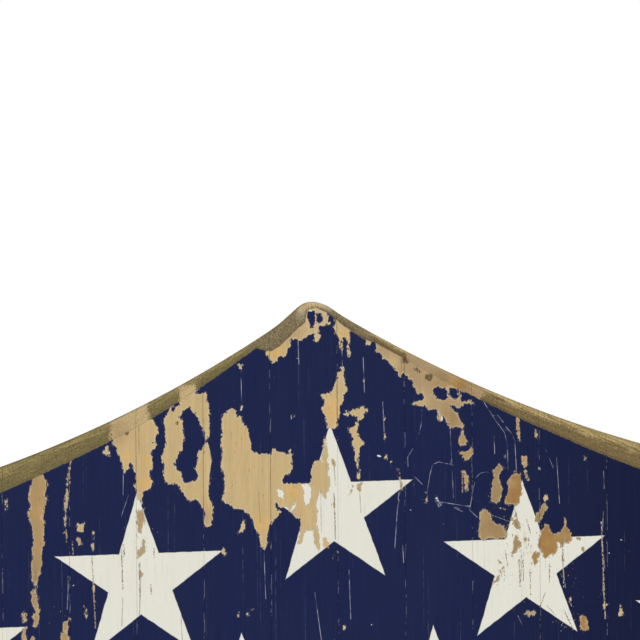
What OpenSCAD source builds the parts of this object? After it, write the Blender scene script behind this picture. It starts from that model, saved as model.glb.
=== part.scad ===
// Painted shield wall panel: upright tongue-and-groove strips, cut to a shield with a
// raised centre, screwed to three cross battens, with two D-ring hangers on the back.
// The origin is in the wall plane, on the centre line, at the top batten's middle.
// +X is the viewer's right, +Y goes into the wall and +Z is up.

/* [Boards] */
// Number of strips side by side
board_n = 22; // [16:1:26]
// Face width of one strip, joint to joint
board_w = 57.15; // [45:0.5:75]
// Thickness of the strips
board_t = 20; // [16:1:30]
// How far the strips lean from the shield's centre line, in degrees
board_lean = 1.7; // [0:0.1:2.4]
// Where a joint crosses mid-height, right of the centre line
joint_shift = -3; // [-8:1:4]
// Opening between two faces at a joint
joint_gap = 0.4; // [0.2:0.1:0.8]
// Reach of the tongue past its strip's face
tongue_l = 6; // [4:0.5:8]
// Thickness of the tongue
tongue_t = 6; // [4:0.5:8]
// Air round the tongue in its groove
tongue_clear = 0.2; // [0.1:0.05:0.4]

/* [Shield outline] */
// Overall height, from the sharp point where the two flanks would meet to the bottom point
panel_h = 1450; // [1250:10:1700]
// Rise of that sharp point over the lowest level of the flanks
peak_rise = 185; // [120:5:240]
// Lowest level of each flank, measured in from the side
shoulder_in = 25; // [10:5:80]
// Straight height of the sides under the flanks' lowest level
side_h = 435; // [300:5:560]
// Flat cut at the very top, below the sharp point
tip_cut = 2; // [1:0.5:6]
// Radius of the rounded knob that the saw left at the peak
tip_r = 15; // [8:1:25]
// Middle of that knob, left of the centre line
tip_left = 5.5; // [0:0.5:8]

/* [Front bevel] */
// Angle between the bevel and the front face, in degrees
bevel_angle = 25; // [15:1:28]
// Width of the bevel at the peak, measured upright
bevel_peak = 10; // [6:1:14]
// How much wider the bevel is at the shoulders than at the peak
bevel_grow = 22; // [10:1:24]
// Width of the bevel down the sides and round the foot
bevel_side = 20; // [8:1:30]

/* [Battens] */
// Thickness of the three cross battens
batten_t = 25; // [24:1:40]
// Height of a batten's face
batten_h = 90; // [70:5:120]
// Distance between the middles of two battens
batten_pitch = 420; // [380:5:440]
// Middle of the top batten, under the flanks' lowest level
batten_drop = 75; // [70:5:110]
// Distance from a batten's ends to the shield's side
batten_inset = 20; // [14:1:24]

/* [Batten screws] */
// Radius of the screw's shank
screw_r = 2.1; // [1.7:0.1:2.6]
// How deep the screws go into the strips
screw_bite = 13; // [9:1:14]
// Radius of the countersunk head
screw_head_r = 4.1; // [3.4:0.1:5]
// Height of the countersunk head
screw_head_h = 2.6; // [2:0.1:3.5]
// Each screw's step up or down from the batten's middle, in turn
screw_stagger = 18; // [8:1:26]
// Air round a screw in its hole
screw_clear = 0.1; // [0.05:0.05:0.2]

/* [Hangers] */
// Distance of each hanger from the centre line
hanger_x = 380; // [250:5:480]
// Air between the top batten and a ring that is turned up
hanger_drop = 15; // [10:1:40]
// Width of the strap
strap_w = 19; // [16:1:22]
// Thickness of the strap
strap_t = 1.5; // [1:0.1:1.8]
// Strap left below its last screw
strap_end = 9; // [7:1:14]
// Radius of the ring's wire
ring_wire_r = 2; // [1.5:0.1:2.3]
// Radial air between the wire and the strap's roll
ring_clear = 0.1; // [0.05:0.01:0.1]
// Air between the wire and the strap under it
ring_lift = 0.4; // [0.3:0.1:0.8]
// Air between the strap's edge and a leg of the ring
ring_side = 1; // [0.6:0.1:1.6]
// Straight length of the ring's legs
ring_leg = 5; // [3:0.5:5]
// Radius of the hanger screws' shank
hanger_screw_r = 1.75; // [1.5:0.05:2]
// How deep the hanger screws go into the strips
hanger_bite = 14.5; // [10:0.5:15]
// Radius of their round head
hanger_head_r = 3.5; // [3:0.1:4.5]
// Height of their round head
hanger_head_h = 2.1; // [1.6:0.1:2.6]
// Air between the ring's bow and the first screw's head
hanger_screw_air = 5; // [3:0.5:8]
// Distance between the two screws of a strap
hanger_screw_pitch = 15; // [12:1:18]

/* [Hidden] */
big_fn = 720;
small_fn = 48;
// How far a cutter runs past the face that it cuts
past = 1;
slot_turn = 40;
batten_names = ["top", "middle", "bottom"];

panel_w = board_n * board_w;
half_w = panel_w / 2;

// Heights on the centre line
low_z = batten_drop;
peak_z = low_z + peak_rise;
foot_z = peak_z - panel_h;
spring_z = low_z - side_h;
mid_z = (peak_z + foot_z) / 2;

// Depths from the wall plane to the front
back_y = -batten_t;
front_y = back_y - board_t;

// Each flank is one hollow arc, lowest at shoulder_x
shoulder_x = half_w - shoulder_in;
flank_r = (shoulder_x * shoulder_x + peak_rise * peak_rise) / (2 * peak_rise);
flank_z = low_z + flank_r;

// Each lower side is one round arc from the spring line to the foot
foot_drop = spring_z - foot_z;
foot_r = (half_w * half_w + foot_drop * foot_drop) / (2 * half_w);
foot_x = half_w - foot_r;

// The bevel's inner edge is an arc of the flank's radius, moved out and down
bevel_run = board_t / tan(bevel_angle);
bevel_side_depth = bevel_side * tan(bevel_angle);
peak_run = sqrt(flank_r * flank_r - shoulder_x * shoulder_x) / shoulder_x;
bevel_x = shoulder_x + bevel_grow * peak_run;
bevel_z = flank_z - bevel_peak - bevel_grow;

// Strips: joint i is on the left of strip i, and strip board_n ends at joint board_n + 1
function joint_at(i) = joint_shift + (i - 1 - board_n / 2) * board_w;
function joint_x(i, z) = joint_at(i) / cos(board_lean) + (z - mid_z) * tan(board_lean);
edge_spare = 2 * board_w;
groove_l = tongue_l + 2 * tongue_clear;
groove_t = tongue_t + 2 * tongue_clear;

// Half length of batten j, which follows the outline at its lower edge
function side_at(z) =
    z > spring_z ? half_w : foot_x + sqrt(foot_r * foot_r - pow(spring_z - z, 2));
function batten_z(j) = -j * batten_pitch;
function batten_half(j) = side_at(batten_z(j) - batten_h / 2) - batten_inset;

// Screw of strip i in batten j: the middle of the stretch of strip that the batten covers
least_cover = 5 * screw_head_r;
function screw_z(i, j) = batten_z(j) + (i % 2 == 0 ? screw_stagger : -screw_stagger);
function cover_low(i, j) = max(i == 1 ? -half_w : joint_x(i, screw_z(i, j)), -batten_half(j));
function cover_high(i, j) = min(i == board_n ? half_w : joint_x(i + 1, screw_z(i, j)), batten_half(j));
function screw_x(i, j) = (cover_low(i, j) + cover_high(i, j)) / 2;
function has_screw(i, j) = cover_high(i, j) - cover_low(i, j) > least_cover;

screw_l = batten_t + screw_bite;

// Hangers: the ring's bow is a half circle as wide as the strap and its two legs
bow_r = strap_w / 2 + ring_side + ring_wire_r;
ring_reach = ring_leg + bow_r + ring_wire_r;
hinge_y = back_y + strap_t + ring_lift + ring_wire_r;
hinge_z = -batten_h / 2 - hanger_drop - ring_reach;
roll_in = ring_wire_r + ring_clear;
roll_out = roll_in + strap_t;
hanger_screw_first = ring_reach + hanger_screw_air + hanger_head_r;
strap_l = hanger_screw_first + hanger_screw_pitch + strap_end;
hanger_screw_l = strap_t + hanger_bite;
function hanger_screw_z(k) = hinge_z - hanger_screw_first - k * hanger_screw_pitch;

function two(i) = i < 10 ? str("0", i) : str(i);
function board_name(i) = str("board_", two(i));
BOARDS = [for (i = [1:board_n]) board_name(i)];
BATTENS = [for (j = [0:2]) str("batten_", batten_names[j])];
SCREWS = [for (j = [0:2]) str("batten_", batten_names[j], "_screws")];
HANGERS = [
    "hanger_strap_left", "hanger_strap_right",
    "hanger_ring_left", "hanger_ring_right", "hanger_screws",
];

// The shield's face, drawn in X and Z
module shield_face() {
    top = peak_z - tip_cut;
    difference() {
        union() {
            translate([-half_w, spring_z]) square([panel_w, top - spring_z]);
            intersection() {
                translate([-half_w, foot_z - past]) square([panel_w, foot_drop + past]);
                translate([foot_x, spring_z]) circle(r = foot_r, $fn = big_fn);
                translate([-foot_x, spring_z]) circle(r = foot_r, $fn = big_fn);
            }
        }
        for (s = [-1, 1])
            translate([s * shoulder_x, flank_z]) circle(r = flank_r, $fn = big_fn);
    }
    translate([-tip_left, top - tip_r]) circle(r = tip_r, $fn = small_fn);
}

// Stands a drawing in X and Z upright, with its front at y
module upright(y, depth) {
    translate([0, y + depth, 0]) rotate([90, 0, 0]) linear_extrude(height = depth) children();
}

// What the bevel takes off along one flank
module flank_bevel(s) {
    spread = past / tan(bevel_angle);
    translate([s * bevel_x, front_y - past, bevel_z])
        rotate([-90, 0, 0])
            cylinder(r1 = flank_r + spread, r2 = flank_r - bevel_run, h = board_t + past, $fn = big_fn);
}

// What the bevel takes off along one straight side
module side_bevel(s) {
    spread = past / tan(bevel_angle);
    translate([0, 0, spring_z])
        linear_extrude(height = peak_z - spring_z)
            polygon([
                [s * (half_w - bevel_side - spread), front_y - past],
                [s * (half_w + spread), front_y - past],
                [s * (half_w + spread), front_y + bevel_side_depth + past],
            ]);
}

// What the bevel takes off along one lower side
module foot_bevel(s) {
    spread = past / tan(bevel_angle);
    intersection() {
        translate([s * foot_x, front_y, spring_z])
            rotate([-90, 0, 0])
                rotate_extrude($fn = big_fn)
                    polygon([
                        [foot_r - bevel_side - spread, -past],
                        [foot_r + spread, -past],
                        [foot_r + spread, bevel_side_depth + past],
                    ]);
        translate([s > 0 ? 0 : -panel_w, front_y - 2 * past, foot_z - panel_w])
            cube([panel_w, board_t, panel_w + foot_drop]);
    }
}

// Section of strip i across its length, groove on the left and tongue on the right
module strip_section(i) {
    left = joint_at(i) + joint_gap / 2;
    right = joint_at(i + 1) - joint_gap / 2;
    x0 = i == 1 ? left - edge_spare : left;
    x1 = i == board_n ? right + edge_spare : right;
    mid_y = (front_y + back_y) / 2;
    difference() {
        translate([x0, front_y]) square([x1 - x0, board_t]);
        if (i > 1)
            translate([left - past, mid_y - groove_t / 2]) square([groove_l + past, groove_t]);
    }
    if (i < board_n)
        translate([right - past, mid_y - tongue_t / 2]) square([tongue_l + past, tongue_t]);
}

module leaning_strip(i) {
    reach = panel_h;
    translate([0, 0, mid_z])
        rotate([0, board_lean, 0])
            translate([0, 0, -reach])
                linear_extrude(height = 2 * reach) strip_section(i);
}

// A blind hole that runs from the strips' back face towards the front
module pilot(x, z, r, depth) {
    translate([x, back_y - depth, z]) rotate([-90, 0, 0]) cylinder(r = r, h = depth + past, $fn = small_fn);
}

module pilots_of(i) {
    for (j = [0:2])
        if (has_screw(i, j))
            pilot(screw_x(i, j), screw_z(i, j), screw_r + screw_clear, screw_bite + screw_clear);
    for (s = [-1, 1], k = [0, 1]) {
        z = hanger_screw_z(k);
        near = joint_x(i, z) < s * hanger_x + strap_w && joint_x(i + 1, z) > s * hanger_x - strap_w;
        if (near)
            pilot(s * hanger_x, z, hanger_screw_r + screw_clear, hanger_bite + screw_clear);
    }
}

module board(i) {
    color("midnightblue")
        difference() {
            intersection() {
                leaning_strip(i);
                upright(front_y, board_t) shield_face();
            }
            for (s = [-1, 1]) {
                flank_bevel(s);
                side_bevel(s);
                foot_bevel(s);
            }
            pilots_of(i);
        }
}

// A flush screw along Y with its head's flat top at the origin
module flush_screw(extra) {
    tip_l = 2 * screw_r;
    rotate([90, 0, 0]) {
        cylinder(r1 = screw_head_r + extra, r2 = screw_r + extra, h = screw_head_h, $fn = small_fn);
        cylinder(r = screw_r + extra, h = screw_l - tip_l, $fn = small_fn);
        translate([0, 0, screw_l - tip_l])
            cylinder(r1 = screw_r + extra, r2 = screw_r / 4, h = tip_l, $fn = small_fn);
    }
}

module batten(j) {
    color("burlywood")
        difference() {
            translate([-batten_half(j), back_y, batten_z(j) - batten_h / 2])
                cube([2 * batten_half(j), batten_t, batten_h]);
            for (i = [1:board_n])
                if (has_screw(i, j))
                    translate([screw_x(i, j), 0, screw_z(i, j)]) {
                        flush_screw(screw_clear);
                        rotate([90, 0, 0]) cylinder(r = screw_r + screw_clear, h = batten_t + past, $fn = small_fn);
                    }
        }
}

module batten_screws(j) {
    slot_w = screw_head_r / 4;
    slot_d = screw_head_h / 3;
    color("dimgray")
        for (i = [1:board_n])
            if (has_screw(i, j))
                translate([screw_x(i, j), 0, screw_z(i, j)])
                    difference() {
                        flush_screw(0);
                        rotate([0, slot_turn * i, 0])
                            translate([-screw_head_r - past, -slot_d, -slot_w / 2])
                                cube([2 * screw_head_r + 2 * past, slot_d + past, slot_w]);
                    }
}

// Strap: a plate on the strips' back whose top end is rolled round the ring's bar
module hanger_strap(s) {
    color("silver")
        translate([s * hanger_x, 0, hinge_z])
            difference() {
                union() {
                    translate([-strap_w / 2, back_y, -strap_l]) cube([strap_w, strap_t, strap_l]);
                    translate([-strap_w / 2, hinge_y, 0])
                        rotate([0, 90, 0]) cylinder(r = roll_out, h = strap_w, $fn = small_fn);
                }
                translate([-strap_w / 2 - past, hinge_y, 0])
                    rotate([0, 90, 0]) cylinder(r = roll_in, h = strap_w + 2 * past, $fn = small_fn);
                for (k = [0, 1])
                    translate([0, back_y - past, hanger_screw_z(k) - hinge_z])
                        rotate([-90, 0, 0])
                            cylinder(r = hanger_screw_r + screw_clear, h = strap_t + 2 * past, $fn = small_fn);
            }
}

// D-ring, hanging down: a straight bar in the strap's roll, two legs and a half-round bow
module hanger_ring(s) {
    color("silver")
        translate([s * hanger_x, hinge_y, hinge_z]) {
            translate([-bow_r, 0, 0]) rotate([0, 90, 0]) cylinder(r = ring_wire_r, h = 2 * bow_r, $fn = small_fn);
            for (side = [-1, 1])
                translate([side * bow_r, 0, 0]) {
                    sphere(r = ring_wire_r, $fn = small_fn);
                    translate([0, 0, -ring_leg]) cylinder(r = ring_wire_r, h = ring_leg, $fn = small_fn);
                }
            translate([0, 0, -ring_leg])
                rotate([90, 0, 0])
                    rotate([0, 0, 180])
                        rotate_extrude(angle = 180, $fn = small_fn)
                            translate([bow_r, 0]) circle(r = ring_wire_r, $fn = small_fn);
        }
}

module hanger_screw() {
    tip_l = 2 * hanger_screw_r;
    dome_r = (hanger_head_r * hanger_head_r + hanger_head_h * hanger_head_h) / (2 * hanger_head_h);
    slot_w = hanger_head_r / 4;
    difference() {
        union() {
            intersection() {
                translate([0, hanger_head_h - dome_r, 0]) sphere(r = dome_r, $fn = small_fn * 2);
                translate([-hanger_head_r, 0, -hanger_head_r])
                    cube([2 * hanger_head_r, hanger_head_h + past, 2 * hanger_head_r]);
            }
            rotate([90, 0, 0]) {
                cylinder(r = hanger_screw_r, h = hanger_screw_l - tip_l, $fn = small_fn);
                translate([0, 0, hanger_screw_l - tip_l])
                    cylinder(r1 = hanger_screw_r, r2 = hanger_screw_r / 4, h = tip_l, $fn = small_fn);
            }
        }
        translate([-hanger_head_r - past, hanger_head_h / 2, -slot_w / 2])
            cube([2 * hanger_head_r + 2 * past, hanger_head_h, slot_w]);
    }
}

module hanger_screws() {
    color("dimgray")
        for (s = [-1, 1], k = [0, 1])
            translate([s * hanger_x, back_y + strap_t, hanger_screw_z(k)]) hanger_screw();
}

for (i = [1:board_n])
    board(i);
for (j = [0:2])
    batten(j);
for (j = [0:2])
    batten_screws(j);
hanger_strap(-1);  // hanger_strap_left
hanger_strap(1);  // hanger_strap_right
hanger_ring(-1);  // hanger_ring_left
hanger_ring(1);  // hanger_ring_right
hanger_screws();
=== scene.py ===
"""Looks of a painted shield wall panel: its strips, battens, screws and D-ring hangers."""

import math
import random

import bmesh
import bpy
import numpy as np
from bpy.props import FloatProperty, FloatVectorProperty, IntProperty, PointerProperty
from mathutils import Matrix, Vector


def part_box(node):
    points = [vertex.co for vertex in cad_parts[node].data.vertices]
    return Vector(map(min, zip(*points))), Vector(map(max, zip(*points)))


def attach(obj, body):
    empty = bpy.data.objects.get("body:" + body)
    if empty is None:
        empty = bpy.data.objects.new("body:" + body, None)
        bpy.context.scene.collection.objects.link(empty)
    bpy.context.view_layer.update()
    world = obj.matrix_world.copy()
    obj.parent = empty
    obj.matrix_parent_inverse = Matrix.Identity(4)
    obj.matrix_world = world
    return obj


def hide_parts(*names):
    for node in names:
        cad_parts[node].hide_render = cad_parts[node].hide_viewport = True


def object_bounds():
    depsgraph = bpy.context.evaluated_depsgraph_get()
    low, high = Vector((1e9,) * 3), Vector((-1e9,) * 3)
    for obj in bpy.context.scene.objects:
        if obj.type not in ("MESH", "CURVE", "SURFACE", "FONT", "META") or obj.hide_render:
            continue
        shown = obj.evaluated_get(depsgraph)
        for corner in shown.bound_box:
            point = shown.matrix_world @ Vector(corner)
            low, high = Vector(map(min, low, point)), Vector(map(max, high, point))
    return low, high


bl_info = {
    "name": "Painted Shield Panel",
    "version": (1, 0, 0),
    "blender": (4, 5, 0),
    "location": "View3D > Sidebar > Shield",
    "description": "Builds the painted strips, battens and hangers of a shield wall panel",
    "category": "Object",
}

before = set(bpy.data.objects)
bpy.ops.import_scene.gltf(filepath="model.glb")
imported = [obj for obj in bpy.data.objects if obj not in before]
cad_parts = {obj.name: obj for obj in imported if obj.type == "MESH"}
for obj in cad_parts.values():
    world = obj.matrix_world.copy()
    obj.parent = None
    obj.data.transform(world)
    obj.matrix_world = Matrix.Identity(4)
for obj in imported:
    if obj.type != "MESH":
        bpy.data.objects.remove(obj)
cad_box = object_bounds()

MM = 0.001
BOARDS = sorted(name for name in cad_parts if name.startswith("board_"))
BATTENS = ["batten_top", "batten_middle", "batten_bottom"]
SCREWS = ["batten_top_screws", "batten_middle_screws", "batten_bottom_screws", "hanger_screws"]
STRAPS = ["hanger_strap_left", "hanger_strap_right"]
RINGS = {"hanger_ring_left": "ring_left", "hanger_ring_right": "ring_right"}


def in_mm(metres):
    """Metres of Blender as millimetres."""
    return metres / MM


def shade_of(red, green, blue):
    """A colour given in the 0 to 255 of a paint chart, as the linear colour of a shader."""

    def linear(value):
        value /= 255
        return value / 12.92 if value <= 0.04045 else ((value + 0.055) / 1.055) ** 2.4

    return (linear(red), linear(green), linear(blue))


# The bare pine where the paint has gone, from fresh to weathered
STRAW = shade_of(205, 180, 132)
HONEY = shade_of(221, 180, 116)
SAND = shade_of(181, 155, 116)
AMBER = shade_of(178, 148, 103)
UMBER = shade_of(164, 138, 98)
RUST = shade_of(166, 127, 77)

# Places where the bare pine changes colour: middle, radius and colour
TINT_SPOTS = [
    ((-150, 109), 7, HONEY), ((-146, 128), 6, HONEY), ((-165, 132), 5, HONEY), ((-246, 30), 26, UMBER),
    ((-105, 82), 8, HONEY), ((-53.5, 71), 9, HONEY), ((-24, 97), 8, HONEY), ((12, 165), 9, HONEY),
    ((106, 186), 8, UMBER), ((118, 184), 6, HONEY), ((104, 170), 6, SAND), ((110, 156), 8, AMBER),
    ((121, 183), 8, RUST), ((64, 204), 7, STRAW), ((88, 172), 6, STRAW), ((203, 50), 6, UMBER),
    ((163, 97), 4, AMBER), ((-34, 215), 8, HONEY), ((-20, 232), 8, SAND), ((24, 226), 7, HONEY),
    ((-170, 152), 9, SAND), ((-98, 80), 9, SAND), ((116, 155), 8, UMBER),
]

# Parts of the bevel that are fresh bare pine, like the face below them
FRESH_BEVEL = [
    [(-178, 135), (-178, 175), (-149, 190), (-142, 150)],
    [(-118, 174), (-119, 190), (-104, 191.5), (-103, 176)],
    [(78, 180), (76, 216), (96, 207), (138, 186), (142, 172), (110, 160)],
    [(-14, 249.5), (-14, 262), (4, 262), (9, 256), (3, 253), (-2, 254.5)],
]

# Where the paint is peppered with small chips: middle, radius and how badly
PEPPERED = [
    ((172, 44), 30, 0.85), ((160, 60), 14, 0.8), ((200, 25), 24, 0.62), ((205, -20), 14, 0.8),
    ((148, 20), 12, 0.8), ((-156, 60), 16, 0.7), ((-155, 85), 10, 0.7), ((-170, 40), 14, 0.5),
    ((20, 110), 22, 0.35), ((5, 80), 22, 0.5), ((150, 90), 16, 0.45), ((175, 10), 28, 0.55),
    ((-225, -5), 14, 0.5), ((-115, 30), 10, 0.4), ((235, 0), 14, 0.5), ((60, 55), 10, 0.4),
]
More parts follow.
